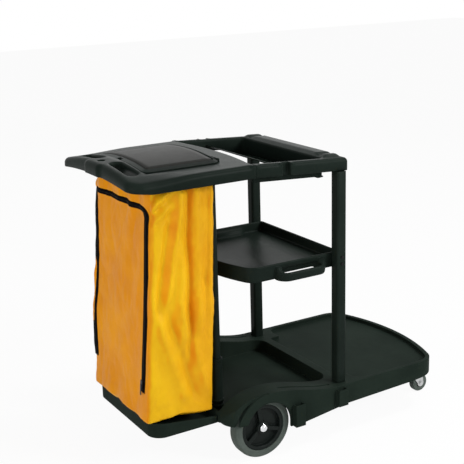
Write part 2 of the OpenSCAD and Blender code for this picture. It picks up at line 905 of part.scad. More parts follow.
module frame_plan(inset) {
    bow_in = 8;
    bow_half = well_half - bow_in;
    bow_r = (pow(bow_half, 2) + pow(frame_bow, 2)) / (2 * frame_bow);
    outline(handle_face + inset, seam_x, top_half - inset, handle_r - inset, 1);
    intersection() {
        translate([seam_x + frame_bow - bow_r, 0]) circle(bow_r - inset, $fn = 180);
        translate([seam_x - 2, -bow_half]) square([far, 2 * bow_half]);
    }
}

module frame_openings() {
    outline(axle_x + mouth_rear_dx, axle_x + mouth_front_dx, mouth_half, mouth_r, mouth_r);
    for (s = [-1, 1]) translate([0, s * grip_y])
        outline(grip_x - grip_w / 2, grip_x + grip_w / 2, grip_l / 2, grip_w / 2 - 1, grip_w / 2 - 1);
    translate([hang_x, 0]) circle(hang_r);
}

module frame_collars() {
    half = grip_w / 2 + grip_wall;
    r = half - 2;
    for (s = [-1, 1]) translate([0, s * grip_y])
        outline(grip_x - half, grip_x + half, grip_l / 2 + grip_wall, r, r);
    translate([hang_x, 0]) circle(hang_r + grip_wall);
}

// Cylinder along the cart whose top stands over a flat deck by the given rise
module crown_bar(z, rise, half) {
    r = (pow(half, 2) + pow(rise, 2)) / (2 * rise);
    translate([-far / 2, 0, z + rise - r]) rotate([0, 90, 0]) cylinder(h = far, r = r, $fn = 360);
}

// Raised middle of the handle end, with the boss on its rear face
module handle_rise() {
    intersection() {
        slab(deck_top_under, far) intersection() {
            frame_plan(0);
            translate([-far, -far]) square([far + lid_rear - handle_gap, 2 * far]);
        }
        crown_bar(rim_z, handle_crown, top_half - handle_r);
    }
    intersection() {
        slab(rim_z - handle_h, far) outline(handle_x, grip_x, boss_w / 2, boss_out, 1);
        crown_bar(rim_z, handle_crown, top_half - handle_r);
        translate([handle_x - 1, -far, 0]) cube([boss_out + top_wall + 1, 2 * far, far]);
    }
}

module hinge_lugs() {
    for (s = [-1, 1], e = [-1, 1]) translate([hinge_x, s * hinge_y + e * (hinge_w / 2 - lug_w / 2), 0]) {
        translate([0, lug_w / 2, hinge_z]) rotate([90, 0, 0]) cylinder(h = lug_w, r = knuckle_r);
        translate([-knuckle_r, -lug_w / 2, rim_z - 1]) cube([2 * knuckle_r, lug_w, hinge_z - rim_z + 1]);
    }
}

module bag_frame() {
    color(plastic) difference() {
        union() {
            difference() {
                union() {
                    slab(deck_top_under, rim_z) frame_plan(0);
                    slab(rim_z - rim_h, rim_z) difference() {
                        frame_plan(0);
                        frame_plan(top_wall);
                        translate([seam_x - top_wall, -top_half + top_wall])
                            square([far, 2 * (top_half - top_wall)]);
                    }
                    slab(rim_z - handle_h, rim_z) frame_collars();
                    handle_rise();
                }
                slab(-1, far) frame_openings();
                intersection() {
                    crown_bar(rim_z - handle_h, handle_arch, top_half - handle_r);
                    translate([handle_x - 1, -far, 0]) cube([handle_r + boss_out + 1, 2 * far, rim_z]);
                }
            }
            hinge_lugs();
            both_sides() translate([post_rear_x, rear_post_y, deck_top_under - spigot_l])
                cylinder(h = spigot_l + 1, d = rear_post_d - 2 * post_wall - 2 * seat_gap);
        }
        for (s = [-1, 1]) translate([hinge_x, s * hinge_y - hinge_w / 2 - 1, hinge_z]) rotate([-90, 0, 0])
            cylinder(h = hinge_w + 2, d = hinge_pin_d);
    }
}

// Cranked steel bars under the rails that join the frame to the tray
module seam_straps() {
    y = (top_half - top_wall + well_half + well_wall) / 2;
    color(steel) both_sides() {
        translate([seam_x - splice_l / 2, y - splice_w / 2, deck_top_under - strap_t])
            cube([splice_l / 2, splice_w, strap_t]);
        tray_slope() translate([seam_x - 1, y - splice_w / 2, deck_top_under - strap_t])
            cube([splice_l / 2, splice_w, strap_t]);
    }
}

module lid_plan(inset) {
    outline(lid_rear + inset, lid_front - inset, lid_half - inset, lid_r - inset, lid_r - inset);
}

// Domed lid with a hollow underside, a thumb notch and two hinge knuckles
module lid() {
    knuckle_l = hinge_w - 2 * lug_w - 2 * knuckle_gap;
    thumb_r = 14;
    color(plastic) difference() {
        union() {
            difference() {
                intersection() {
                    slab(lid_z, far) lid_plan(0);
                    crown_bar(lid_z + lid_edge, lid_crown, lid_half);
                }
                intersection() {
                    slab(lid_z - 1, far) lid_plan(lid_wall);
                    crown_bar(lid_z + lid_edge - lid_wall, lid_crown, lid_half);
                }
            }
            for (s = [-1, 1]) translate([hinge_x, s * hinge_y - knuckle_l / 2, hinge_z]) {
                rotate([-90, 0, 0]) cylinder(h = knuckle_l, r = knuckle_r - seat_gap);
                translate([lid_front - hinge_x - lid_wall / 2, 0, lid_z - hinge_z])
                    cube([hinge_x - lid_front + lid_wall / 2, knuckle_l, knuckle_r - 1]);
            }
            slab(lid_z, lid_z + lid_edge) intersection() {
                translate([lid_rear - thumb_r / 3, 0]) circle(thumb_r + lid_wall);
                lid_plan(0);
            }
        }
        for (s = [-1, 1]) translate([hinge_x, s * hinge_y - hinge_w / 2, hinge_z]) rotate([-90, 0, 0])
            cylinder(h = hinge_w, d = hinge_pin_d + 2 * run_gap);
        translate([lid_rear - thumb_r / 3, 0, lid_z - 1]) cylinder(h = far, r = thumb_r);
    }
}

module hinge_pins() {
    color(steel) for (s = [-1, 1]) translate([hinge_x, s * hinge_y - hinge_w / 2, hinge_z])
        rotate([-90, 0, 0]) cylinder(h = hinge_w, d = hinge_pin_d);
}

module bag_low_plan(inset) {
    outline(axle_x + bag_rear_low + inset, axle_x + bag_front_low - inset, bag_half_low - inset,
        bag_r - inset, bag_r - inset, $fn = 24);
}

module bag_top_plan(inset) {
    outline(axle_x + bag_rear_top + inset, axle_x + bag_front_top - inset, bag_half_top - inset,
        bag_r - inset, bag_r - inset, $fn = 24);
}

module bag_form(inset, low) {
    thin = 0.5;
    hull() {
        slab(low, low + thin) bag_low_plan(inset);
        slab(hem_top - thin, hem_top) bag_top_plan(inset);
    }
}

// Waste bag with an open mouth
module bag_shell() {
    color(nylon) difference() {
        bag_form(0, bag_low);
        bag_form(bag_t, bag_low + bag_t);
        slab(hem_top - 1, far) bag_top_plan(bag_t);
    }
}

// Clip that hangs under the frame and holds the hem of the bag
module bag_clip() {
    play = 2;
    slot = bag_t + 2 * seat_gap + play;
    wide = slot + 2 * clip_wall;
    translate([0, 0, deck_top_under - clip_h]) difference() {
        translate([-clip_l / 2, -wide / 2, 0]) cube([clip_l, wide, clip_h]);
        translate([-clip_l, -slot / 2, -1]) cube([2 * clip_l, slot, hem_grip + 1 + seat_gap]);
    }
}

module bag_clips() {
    mid = axle_x + (bag_rear_top + bag_front_top) / 2;
    rear = axle_x + bag_rear_top + bag_t / 2;
    front = axle_x + bag_front_top - bag_t / 2;
    color(plastic) {
        both_sides() for (dx = [-clip_side_dx, clip_side_dx])
            translate([mid + dx, bag_half_top - bag_t / 2, 0]) bag_clip();
        for (y = [-clip_rear_y, 0, clip_rear_y]) translate([rear, y, 0]) rotate([0, 0, 90]) bag_clip();
        for (y = [-clip_front_y, clip_front_y]) translate([front, y, 0]) rotate([0, 0, 90]) bag_clip();
    }
}

// Put a piece on the back of the bag: first axis to the cart's right, second up along the cloth
module on_bag_back() {
    translate([axle_x + bag_rear_low, 0, bag_low]) rotate([0, bag_tilt, 0]) rotate([90, 0, -90])
        translate([0, 0, zip_seat]) children();
}

// One edge of the zip tape, w out from its middle, from the left leg round to the right
function zip_edge(w) = concat([[-zip_half - w, zip_low]],
    [for (s = [-1, 1], i = [0 : 8]) let (a = 11.25 * (s < 0 ? 16 - i : 8 - i), r = zip_corner + w)
        [s * (zip_half - zip_corner) + r * cos(a), zip_turn + r * sin(a)]],
    [[zip_lean + w, zip_low]]);

module zip_tape() {
    outer = zip_edge(zip_w / 2);
    inner = zip_edge(-zip_w / 2);
    color(tape) on_bag_back() linear_extrude(zip_t)
        polygon(concat(outer, [for (i = [len(inner) - 1 : -1 : 0]) inner[i]]));
}

module zip_slider() {
    head = 3;
    pull_w = 7;
    pull_l = 30;
    pull_t = 2;
    color(steel) on_bag_back() translate([zip_lean, zip_low, zip_t + seat_gap]) rotate(-zip_slant)
        translate([0, slider_l, 0]) {
            linear_extrude(head) translate([-zip_w / 2, -slider_l / 2]) square([zip_w, slider_l]);
            translate([0, 0, head]) linear_extrude(pull_t) {
                translate([-pull_w / 2, -pull_l]) square([pull_w, pull_l]);
                translate([0, -pull_l]) circle(pull_w / 2);
            }
        }
}

// Tyre and hub are turned about their own axis and then laid across the cart
module on_axle() {
    translate([axle_x, (wheel_out + wheel_in) / 2, axle_z]) rotate([-90, 0, 0]) children();
}

module tyre() {
    r = tyre_round;
    color(rubber) on_axle() rotate_extrude($fn = 128) {
        translate([tyre_in_r, -tyre_w / 2]) square([tyre_depth - r, tyre_w]);
        translate([tyre_in_r, r - tyre_w / 2]) square([tyre_depth, tyre_w - 2 * r]);
        for (s = [-1, 1]) translate([tyre_in_r + tyre_depth - r, s * (tyre_w / 2 - r)]) circle(r);
    }
}

module wheel_hub() {
    rim_w = tyre_w - 6;
    hub_l = tyre_w;
    spoke_in = 2;
    color(plastic) on_axle() difference() {
        union() {
            difference() {
                cylinder(h = rim_w, r = tyre_in_r, center = true);
                cylinder(h = rim_w + 2, r = tyre_in_r - rim_depth, center = true);
            }
            cylinder(h = web_t, r = tyre_in_r - 1, center = true);
            cylinder(h = hub_l, r = hub_r, center = true);
            for (a = [0 : 120 : 240]) rotate(a + spoke_turn)
                translate([hub_r - spoke_in, -spoke_w / 2, spoke_in - rim_w / 2])
                    cube([tyre_in_r - rim_depth - hub_r + 2 * spoke_in, spoke_w, rim_w - 2 * spoke_in]);
        }
        cylinder(h = hub_l + 2, r = axle_d / 2 + run_gap, center = true);
    }
}

module tyre_left() { tyre(); }
module tyre_right() { mirror([0, 1, 0]) tyre(); }
module wheel_hub_left() { wheel_hub(); }
module wheel_hub_right() { mirror([0, 1, 0]) wheel_hub(); }

module axle_cap() {
    skirt = 4;
    color(steel) translate([axle_x, wheel_out + seat_gap, axle_z]) rotate([-90, 0, 0]) intersection() {
        cylinder(h = cap_r, r = cap_r);
        translate([0, 0, skirt - cap_r * 0.6]) sphere(cap_r * 1.2, $fn = 48);
    }
}

module axle_cap_left() { axle_cap(); }
module axle_cap_right() { mirror([0, 1, 0]) axle_cap(); }

module caster_plate() {
    plate_w = pad_w - 2 * plate_in;
    color(steel) translate([caster_x, caster_y, 0]) difference() {
        union() {
            translate([-plate_w / 2, -plate_w / 2, caster_plate_z - plate_t])
                cube([plate_w, plate_w, plate_t]);
            translate([0, 0, race_z]) cylinder(h = race_h, r = race_r);
        }
        cylinder(h = far, d = king_d);
    }
}

module king_pin() {
    low = fork_top - fork_t - seat_gap;
    head_h = 4;
    head_out = 3;
    color(steel) translate([caster_x, caster_y, 0]) {
        translate([0, 0, low - head_h]) cylinder(h = head_h, d = king_d + 2 * head_out);
        translate([0, 0, low]) cylinder(h = caster_plate_z - low, d = king_d);
    }
}

// Side cheek of a caster fork, drawn in X and Z
module fork_cheek() {
    cheek = 13;
    back = caster_x - 6;
    front = caster_axle_x + 4;
    translate([caster_axle_x, caster_axle_z]) circle(cheek);
    polygon([[back, fork_top], [back, fork_top - fork_t - 4], [caster_axle_x - cheek, caster_axle_z],
        [caster_axle_x + cheek, caster_axle_z], [front, fork_top]]);
}

module caster_fork() {
    half = fork_in + fork_t;
    color(steel) difference() {
        union() {
            translate([caster_x, caster_y, fork_top - fork_t]) {
                cylinder(h = fork_t, r = fork_crown_r);
                translate([0, -half, 0]) cube([caster_trail, 2 * half, fork_t]);
            }
            across(caster_y + fork_in, caster_y + half) fork_cheek();
            across(caster_y - half, caster_y - fork_in) fork_cheek();
        }
        translate([caster_x, caster_y, 0]) cylinder(h = far, r = king_d / 2 + run_gap);
        translate([caster_axle_x, caster_y - far / 2, caster_axle_z]) rotate([-90, 0, 0])
            cylinder(h = far, d = caster_pin_d);
    }
}

module caster_axle() {
    head = 4;
    head_d = caster_pin_d + 5;
    half = fork_in + fork_t;
    color(steel) translate([caster_axle_x, caster_y, caster_axle_z]) rotate([-90, 0, 0]) {
        cylinder(h = 2 * half, d = caster_pin_d, center = true);
        for (s = [-1, 1]) translate([0, 0, s * (half + head / 2)])
            cylinder(h = head, d = head_d, center = true, $fn = 6);
    }
}

module caster_wheel() {
    r = 5;
    bore = caster_pin_d / 2 + run_gap;
    boss = 7;
    boss_half = fork_in - 0.4;
    dish = 16;
    color(rubber) translate([caster_axle_x, caster_y, caster_axle_z]) rotate([-90, 0, 0])
    rotate_extrude($fn = 96) {
        translate([bore, -boss_half]) square([boss, 2 * boss_half]);
        translate([bore, -caster_w / 4]) square([dish, caster_w / 2]);
        translate([dish, -caster_w / 2]) square([caster_d / 2 - dish - r, caster_w]);
        translate([dish, r - caster_w / 2]) square([caster_d / 2 - dish, caster_w - 2 * r]);
        for (s = [-1, 1]) translate([caster_d / 2 - r, s * (caster_w / 2 - r)]) circle(r);
    }
}

module caster_plate_left() { caster_plate(); }
module caster_plate_right() { mirror([0, 1, 0]) caster_plate(); }
module king_pin_left() { king_pin(); }
module king_pin_right() { mirror([0, 1, 0]) king_pin(); }
module caster_fork_left() { caster_fork(); }
module caster_fork_right() { mirror([0, 1, 0]) caster_fork(); }
module caster_axle_left() { caster_axle(); }
module caster_axle_right() { mirror([0, 1, 0]) caster_axle(); }
module caster_wheel_left() { caster_wheel(); }
module caster_wheel_right() { mirror([0, 1, 0]) caster_wheel(); }

module caster_screws() {
    off = pad_w / 2 - caster_screw_in;
    color(steel) both_sides() translate([caster_x, caster_y, caster_plate_z - plate_t - screw_h])
        for (sx = [-1, 1], sy = [-1, 1]) translate([sx * off, sy * off, 0])
            cylinder(h = screw_h, r = screw_r);
}

base_deck();
bag_platform();
platform_straps();
strap_screws();
axle_brackets();
rear_axle();
front_post_right();
front_post_left();
rear_post_right();
rear_post_left();
post_tower_right();
post_tower_left();
rear_brace();
mid_shelf();
shelf_screws();
top_tray();
bag_frame();
seam_straps();
lid();
hinge_pins();
bag_shell();
bag_clips();
zip_tape();
zip_slider();
tyre_right();
tyre_left();
wheel_hub_right();
wheel_hub_left();
axle_cap_right();
axle_cap_left();
caster_plate_right();
caster_plate_left();
king_pin_right();
king_pin_left();
caster_fork_right();
caster_fork_left();
caster_axle_right();
caster_axle_left();
caster_wheel_right();
caster_wheel_left();
caster_screws();
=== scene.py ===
import json
import math

import bmesh
import bpy
import numpy as np
from mathutils import Matrix, Vector, geometry, noise


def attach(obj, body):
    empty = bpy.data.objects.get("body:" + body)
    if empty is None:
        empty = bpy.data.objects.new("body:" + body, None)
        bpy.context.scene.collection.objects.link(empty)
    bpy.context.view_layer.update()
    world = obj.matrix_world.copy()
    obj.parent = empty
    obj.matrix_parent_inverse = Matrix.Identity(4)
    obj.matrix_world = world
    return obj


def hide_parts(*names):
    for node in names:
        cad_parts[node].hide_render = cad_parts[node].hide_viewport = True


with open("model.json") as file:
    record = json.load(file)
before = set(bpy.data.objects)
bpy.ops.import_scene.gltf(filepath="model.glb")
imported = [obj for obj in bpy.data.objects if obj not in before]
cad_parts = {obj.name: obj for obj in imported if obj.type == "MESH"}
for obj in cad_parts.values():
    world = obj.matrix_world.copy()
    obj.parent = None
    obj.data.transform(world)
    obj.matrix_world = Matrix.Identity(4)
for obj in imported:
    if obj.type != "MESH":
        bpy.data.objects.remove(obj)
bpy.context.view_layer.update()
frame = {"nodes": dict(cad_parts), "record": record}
nodes = frame["nodes"]
scene = bpy.context.scene
scene.view_settings.view_transform = "Standard"
print("frame loaded:", len(nodes), "nodes")

mm = 0.001
axleX = -175 * mm  # the rear axle, from which the lengths below are measured
rimZ = 933 * mm  # the top of the frame's rim, on which the lid lies


# small helpers for numbers
def smoothStep(a, b, x):
    t = min(1.0, max(0.0, (x - a) / (b - a)))
    return t * t * (3 - 2 * t)


def bump(x, centre, width):
    return math.exp(-((x - centre) / width) ** 2)


def wavy(x, y, z, across, up, seed):
    # smooth noise with one scale across and another up
    return noise.noise(Vector((x * across + seed, y * across - seed, z * up + 2 * seed)))


# materials
def newMaterial(name, colour, roughness, metallic=0.0, shine=0.5):
    material = bpy.data.materials.new(name)
    material.use_nodes = True
    tree = material.node_tree
    shader = tree.nodes["Principled BSDF"]
    shader.inputs["Base Color"].default_value = (*colour, 1)
    shader.inputs["Roughness"].default_value = roughness
    shader.inputs["Metallic"].default_value = metallic
    shader.inputs["Specular IOR Level"].default_value = shine
    place = tree.nodes.new("ShaderNodeTexCoord").outputs["Object"]
    return material, tree, shader, place


def addNode(tree, kind, **sockets):
    node = tree.nodes.new(kind)
    for key, value in sockets.items():
        node.inputs[key].default_value = value
    return node


def noiseFrom(tree, place, scale, detail, roughness):
    node = addNode(tree, "ShaderNodeTexNoise", Scale=scale, Detail=detail, Roughness=roughness)
    tree.links.new(place, node.inputs["Vector"])
    return node.outputs["Fac"]


def waveFrom(tree, place, direction, scale, distortion):
    node = addNode(tree, "ShaderNodeTexWave", Scale=scale, Distortion=distortion, Detail=1.0)
    node.bands_direction = direction
    tree.links.new(place, node.inputs["Vector"])
    return node.outputs["Fac"]


def colourRamp(tree, source, dark, light, low, high):
    # dark at the low level of the source and light at the high one
    node = tree.nodes.new("ShaderNodeValToRGB")
    for element, level, colour in zip(node.color_ramp.elements, (low, high), (dark, light)):
        element.position = level
        element.color = (*colour, 1)
    tree.links.new(source, node.inputs["Fac"])
    return node.outputs["Color"]


def mapRange(tree, source, limits):
    node = addNode(tree, "ShaderNodeMapRange", **limits)
    tree.links.new(source, node.inputs["Value"])
    return node.outputs["Result"]


def mathNode(tree, operation, *sources):
    node = tree.nodes.new("ShaderNodeMath")
    node.operation = operation
    for socket, source in zip(node.inputs, sources):
        if isinstance(source, float):
            socket.default_value = source
        else:
            tree.links.new(source, socket)
    return node.outputs["Value"]


def splitX(tree, source):
    node = tree.nodes.new("ShaderNodeSeparateXYZ")
    tree.links.new(source, node.inputs["Vector"])
    return node.outputs["X"]


def tinted(tree, share, colour, tint):
    # the colour, multiplied by the tint as far as the share says
    node = tree.nodes.new("ShaderNodeMix")
    node.data_type = "RGBA"
    node.blend_type = "MULTIPLY"
    node.inputs["B"].default_value = (*tint, 1)
    tree.links.new(share, node.inputs["Factor"])
    tree.links.new(colour, node.inputs["A"])
    return node.outputs["Result"]


def bumpFrom(tree, heights, shader, strength, distance, edge=0.0):
    node = addNode(tree, "ShaderNodeBump", Strength=strength, Distance=distance)
    if edge:
        soft = addNode(tree, "ShaderNodeBevel", Radius=edge)
        soft.samples = 8
        tree.links.new(soft.outputs["Normal"], node.inputs["Normal"])
    tree.links.new(heights, node.inputs["Height"])
    tree.links.new(node.outputs["Normal"], shader.inputs["Normal"])


plastics = {
    "black_plastic": {"name": "textured black plastic", "dark": (0.0078, 0.0122, 0.0098),
                      "light": (0.0125, 0.0188, 0.0152), "rough": (0.30, 0.40), "grain": 900.0,
                      "edge": 5 * mm, "shine": 0.024},
    "basePlastic": {"name": "grained base plastic", "dark": (0.0090, 0.0145, 0.0112),
                    "light": (0.0150, 0.0232, 0.0178), "rough": (0.54, 0.68), "grain": 700.0,
                    "edge": 5 * mm, "shine": 0.02},
    # the lid's satin finish is real; its colour, lighter than the frame's, is a painted reflection of the
    # light from above
    "lidReflectionPlastic": {"name": "satin lid plastic", "dark": (0.016, 0.0165, 0.015),
                   "light": (0.022, 0.0225, 0.020), "rough": (0.42, 0.52), "grain": 1400.0,
                   "edge": 3 * mm, "shine": 0.06},
    "hubPlastic": {"name": "smooth hub plastic", "dark": (0.006, 0.0085, 0.0075),
                   "light": (0.010, 0.0135, 0.012), "rough": (0.30, 0.44), "grain": 1300.0,
                   "edge": 2 * mm, "shine": 0.09},
    "toothPlastic": {"name": "zip tooth plastic", "dark": (0.0020, 0.0020, 0.0022),
                     "light": (0.0050, 0.0050, 0.0052), "rough": (0.40, 0.55), "grain": 1500.0,
                     "edge": 0.0, "shine": 0.06},
}


def mouldedPlastic(name, dark, light, rough, grain, edge, shine):
    material, tree, shader, place = newMaterial(name, dark, rough[0], shine=shine)
    cloud = noiseFrom(tree, place, scale=5.0, detail=5.0, roughness=0.6)
    tint = colourRamp(tree, cloud, dark, light, low=0.3, high=0.72)
    tree.links.new(tint, shader.inputs["Base Color"])
    scuff = noiseFrom(tree, place, scale=38.0, detail=6.0, roughness=0.65)
    worn = mapRange(tree, scuff, {"To Min": rough[0], "To Max": rough[1]})
    tree.links.new(worn, shader.inputs["Roughness"])
    pores = noiseFrom(tree, place, scale=grain, detail=3.0, roughness=0.6)
    bumpFrom(tree, pores, shader, strength=0.22, distance=0.6 * mm, edge=edge)
    return material


rubber = {"name": "grey tyre rubber", "dark": (0.048, 0.062, 0.053), "light": (0.073, 0.090, 0.079)}


def tyreRubber(name, dark, light):
    material, tree, shader, place = newMaterial(name, light, roughness=0.72, shine=0.2)
    cloud = noiseFrom(tree, place, scale=14.0, detail=6.0, roughness=0.65)
    tint = colourRamp(tree, cloud, dark, light, low=0.28, high=0.6)
    tree.links.new(tint, shader.inputs["Base Color"])
    grain = noiseFrom(tree, place, scale=900.0, detail=3.0, roughness=0.6)
    bumpFrom(tree, grain, shader, strength=0.25, distance=0.5 * mm)
    return material


metals = {
    "zinc_steel": {"name": "zinc plate", "dark": (0.42, 0.43, 0.43), "light": (0.62, 0.63, 0.63),
                   "roughness": 0.32, "grain": 240.0},
    "blackenedSteel": {"name": "blackened steel", "dark": (0.012, 0.012, 0.013),
                       "light": (0.030, 0.030, 0.031), "roughness": 0.38, "grain": 200.0},
    "chrome_cap": {"name": "bright cap", "dark": (0.66, 0.67, 0.68), "light": (0.80, 0.81, 0.82),
                   "roughness": 0.10, "grain": 60.0},
}


def platedMetal(name, dark, light, roughness, grain):
    material, tree, shader, place = newMaterial(name, light, roughness, metallic=1.0)
    cloud = noiseFrom(tree, place, scale=60.0, detail=5.0, roughness=0.6)
    tint = colourRamp(tree, cloud, dark, light, low=0.3, high=0.7)
    tree.links.new(tint, shader.inputs["Base Color"])
    scratch = noiseFrom(tree, place, scale=grain, detail=4.0, roughness=0.7)
    bumpFrom(tree, scratch, shader, strength=0.12, distance=0.3 * mm)
    return material


nylon = {
    "name": "yellow coated nylon", "dark": (0.65, 0.300, 0.006), "light": (0.74, 0.390, 0.008),
    # the side tint is painted light, a paler and yellower band on the sides towards the rear corner
    "sidePaintedLightTint": (1.06, 1.24, 1.0), "sideFrom": -330 * mm, "sideTo": -500 * mm,
    # the rear tint is painted shade, a deeper and darker orange on the panel that faces the rear
    "rearPaintedShadeTint": (1.07, 0.68, 0.4), "rearFrom": -0.4, "rearTo": -0.9,
}


def coatedNylon(name, dark, light, sidePaintedLightTint, sideFrom, sideTo, rearPaintedShadeTint, rearFrom, rearTo):
    material, tree, shader, place = newMaterial(name, light, roughness=0.42, shine=0.08)
    cloud = noiseFrom(tree, place, scale=7.0, detail=6.0, roughness=0.62)
    colour = colourRamp(tree, cloud, dark, light, low=0.3, high=0.68)
    # painted light: paler and yellower towards the rear corner of the sides; painted shade: deeper orange on
    # the panel that faces the rear
    far = mapRange(tree, splitX(tree, place), {"From Min": sideFrom, "From Max": sideTo})
    colour = tinted(tree, far, colour, sidePaintedLightTint)
    facing = tree.nodes.new("ShaderNodeNewGeometry").outputs["Normal"]
    rear = mapRange(tree, splitX(tree, facing), {"From Min": rearFrom, "From Max": rearTo})
    colour = tinted(tree, rear, colour, rearPaintedShadeTint)
    tree.links.new(colour, shader.inputs["Base Color"])
    warp = waveFrom(tree, place, "Z", scale=620.0, distortion=0.6)
    weft = waveFrom(tree, place, "Y", scale=620.0, distortion=0.6)
    weave = mathNode(tree, "MULTIPLY", warp, weft)
    crinkle = noiseFrom(tree, place, scale=90.0, detail=6.0, roughness=0.7)
    both = mathNode(tree, "MULTIPLY_ADD", weave, 0.25, crinkle)
    bumpFrom(tree, both, shader, strength=0.28, distance=1.2 * mm)
    return material


tapeCloth = {"name": "black zip tape", "dark": (0.0015, 0.0015, 0.0018), "light": (0.0050, 0.0050, 0.0054)}


def wovenTape(name, dark, light):
    material, tree, shader, place = newMaterial(name, dark, roughness=0.9, shine=0.04)
    rib = waveFrom(tree, place, "Z", scale=420.0, distortion=0.4)
    tint = colourRamp(tree, rib, dark, light, low=0.2, high=0.9)
    tree.links.new(tint, shader.inputs["Base Color"])
    bumpFrom(tree, rib, shader, strength=0.4, distance=0.4 * mm)
    return material


finishes = {slot: mouldedPlastic(**look) for slot, look in plastics.items()}
finishes["grey_rubber"] = tyreRubber(**rubber)
finishes.update({slot: platedMetal(**look) for slot, look in metals.items()})
finishes["yellow_nylon"] = coatedNylon(**nylon)
finishes["black_tape"] = wovenTape(**tapeCloth)
print("materials made:", len(finishes))

ownFinish = {"base_deck": "basePlastic", "bag_platform": "basePlastic", "shelf_screws": "blackenedSteel"}
for subpart in frame["record"]["subparts"]:
    cadMesh = nodes[subpart["node"]].data
    cadMesh.materials.clear()
    cadMesh.materials.append(finishes[ownFinish.get(subpart["node"], subpart["material_slot"])])

# meshes, with the gaps that are welded and the angles taken as flat and as sharp
joins = {"solid": 0.03 * mm, "mesh": 0.02 * mm, "flat": math.radians(0.6), "sharp": math.radians(32)}


def addPiece(name, mesh, body, *stoodFor, finish="black_plastic", slotName="black_plastic"):
    piece = bpy.data.objects.new(name, mesh)
    scene.collection.objects.link(piece)
    mesh.materials.clear()
    mesh.materials.append(finishes[finish])
    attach(piece, body)
    if stoodFor:
        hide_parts(*stoodFor)
    return piece


def softEdges(node, body, radius, segments=3, **look):
    # a copy of a solid with its sharp edges rounded
    mesh = nodes[node].data.copy()
    work = bmesh.new()
    work.from_mesh(mesh)
    bmesh.ops.remove_doubles(work, verts=work.verts, dist=joins["solid"])
    bmesh.ops.dissolve_limit(work, angle_limit=joins["flat"], verts=work.verts, edges=work.edges)
    layer = work.edges.layers.float.new("bevel_weight_edge")
    for edge in work.edges:
        if len(edge.link_faces) == 2 and edge.calc_face_angle(0) > joins["sharp"]:
            edge[layer] = 1.0
    for face in work.faces:
        face.smooth = True
    work.to_mesh(mesh)
    work.free()
    piece = addPiece(node + "Moulded", mesh, body, node, **look)
    edges = piece.modifiers.new("roundedEdges", "BEVEL")
    edges.limit_method = "WEIGHT"
    edges.width = radius
    edges.segments = segments
    edges.use_clamp_overlap = False
    edges.harden_normals = True


def meshFrom(name, verts, faces):
    mesh = bpy.data.meshes.new(name)
    mesh.from_pydata(verts, [], faces)
    work = bmesh.new()
    work.from_mesh(mesh)
    bmesh.ops.remove_doubles(work, verts=work.verts, dist=joins["mesh"])
    bmesh.ops.recalc_face_normals(work, faces=work.faces)
    for face in work.faces:
        face.smooth = True
    work.to_mesh(mesh)
    work.free()
    return mesh


def ringWall(first, second):
    # the faces between two closed rings of points
    count = len(first)
    return [(first[i], first[(i + 1) % count], second[(i + 1) % count], second[i]) for i in range(count)]


def loft(faces, base, count, rings):
    # walls along rings of points that follow one another, closed at both ends
    starts = [base + k * count for k in range(rings)]
    for first, second in zip(starts, starts[1:]):
        faces.extend(ringWall(range(first, first + count), range(second, second + count)))
    for start in (starts[0], starts[-1]):
        faces.append(tuple(range(start, start + count)))


def addPrism(verts, faces, side, half):
    # a side view drawn out to the same width on both sides
    base = len(verts)
    for y in (-half, half):
        verts.extend((x, y, z) for x, z in side)
    loft(faces, base, len(side), 2)


def arc(cx, cy, r, start, end, steps):
    turns = [math.radians(start + (end - start) * i / steps) for i in range(steps + 1)]
    return [(cx + r * math.cos(turn), cy + r * math.sin(turn)) for turn in turns]


def roundedBox(x0, x1, y0, y1, r, steps=8):
    return (arc(x0 + r, y0 + r, r, 180, 270, steps) + arc(x1 - r, y0 + r, r, 270, 360, steps)
            + arc(x1 - r, y1 - r, r, 0, 90, steps) + arc(x0 + r, y1 - r, r, 90, 180, steps))


def lengthsOf(line):
    # the length of a line up to each of its points
    return np.r_[0, np.cumsum(np.linalg.norm(np.diff(line, axis=0), axis=1))]


def pointsAt(line, at):
    lengths = lengthsOf(line)
    return np.stack([np.interp(at, lengths, line[:, k]) for k in (0, 1)], 1)


def evenLoop(points, step=None, count=None):
    # the same closed line with points about a step apart, or with a count of points
    loop = np.array(points + [points[0]], float)
    total = lengthsOf(loop)[-1]
    count = count or max(12, int(total / step))
    return pointsAt(loop, np.linspace(0, total, count, endpoint=False))


def directions(path):
    along = np.gradient(path, axis=0)
    return along / np.linalg.norm(along, axis=1, keepdims=True)


def inward(loop):
    # left-hand normals of an anticlockwise loop
    along = np.roll(loop, -1, 0) - np.roll(loop, 1, 0)
    along /= np.maximum(np.linalg.norm(along, axis=1, keepdims=True), 1e-9)
    return np.stack([-along[:, 1], along[:, 0]], 1)


def insideLoop(loop, p):
    x, y = p
    a, b = loop, np.roll(loop, -1, 0)
    crossing = (a[:, 1] > y) != (b[:, 1] > y)
    at = a[:, 0] + (y - a[:, 1]) * (b[:, 0] - a[:, 0]) / np.where(crossing, b[:, 1] - a[:, 1], 1)
    return bool(np.count_nonzero(crossing & (x < at)) % 2)


def flatPoints(rings, grid):
    # the rings' own points, the edges along them and a grid of points clear of them all
    flat, edges = [], []
    for loop in rings:
        base = len(flat)
        flat += [tuple(p) for p in loop]
        edges += [(base + i, base + (i + 1) % len(loop)) for i in range(len(loop))]
    margin = grid * 0.45
    low, high = rings[0].min(0), rings[0].max(0)
    for x in np.arange(low[0] + grid / 2, high[0], grid):
        for y in np.arange(low[1] + grid / 2, high[1], grid):
            if min(np.hypot(ring[:, 0] - x, ring[:, 1] - y).min() for ring in rings) > margin:
                flat.append((x, y))
    return flat, edges


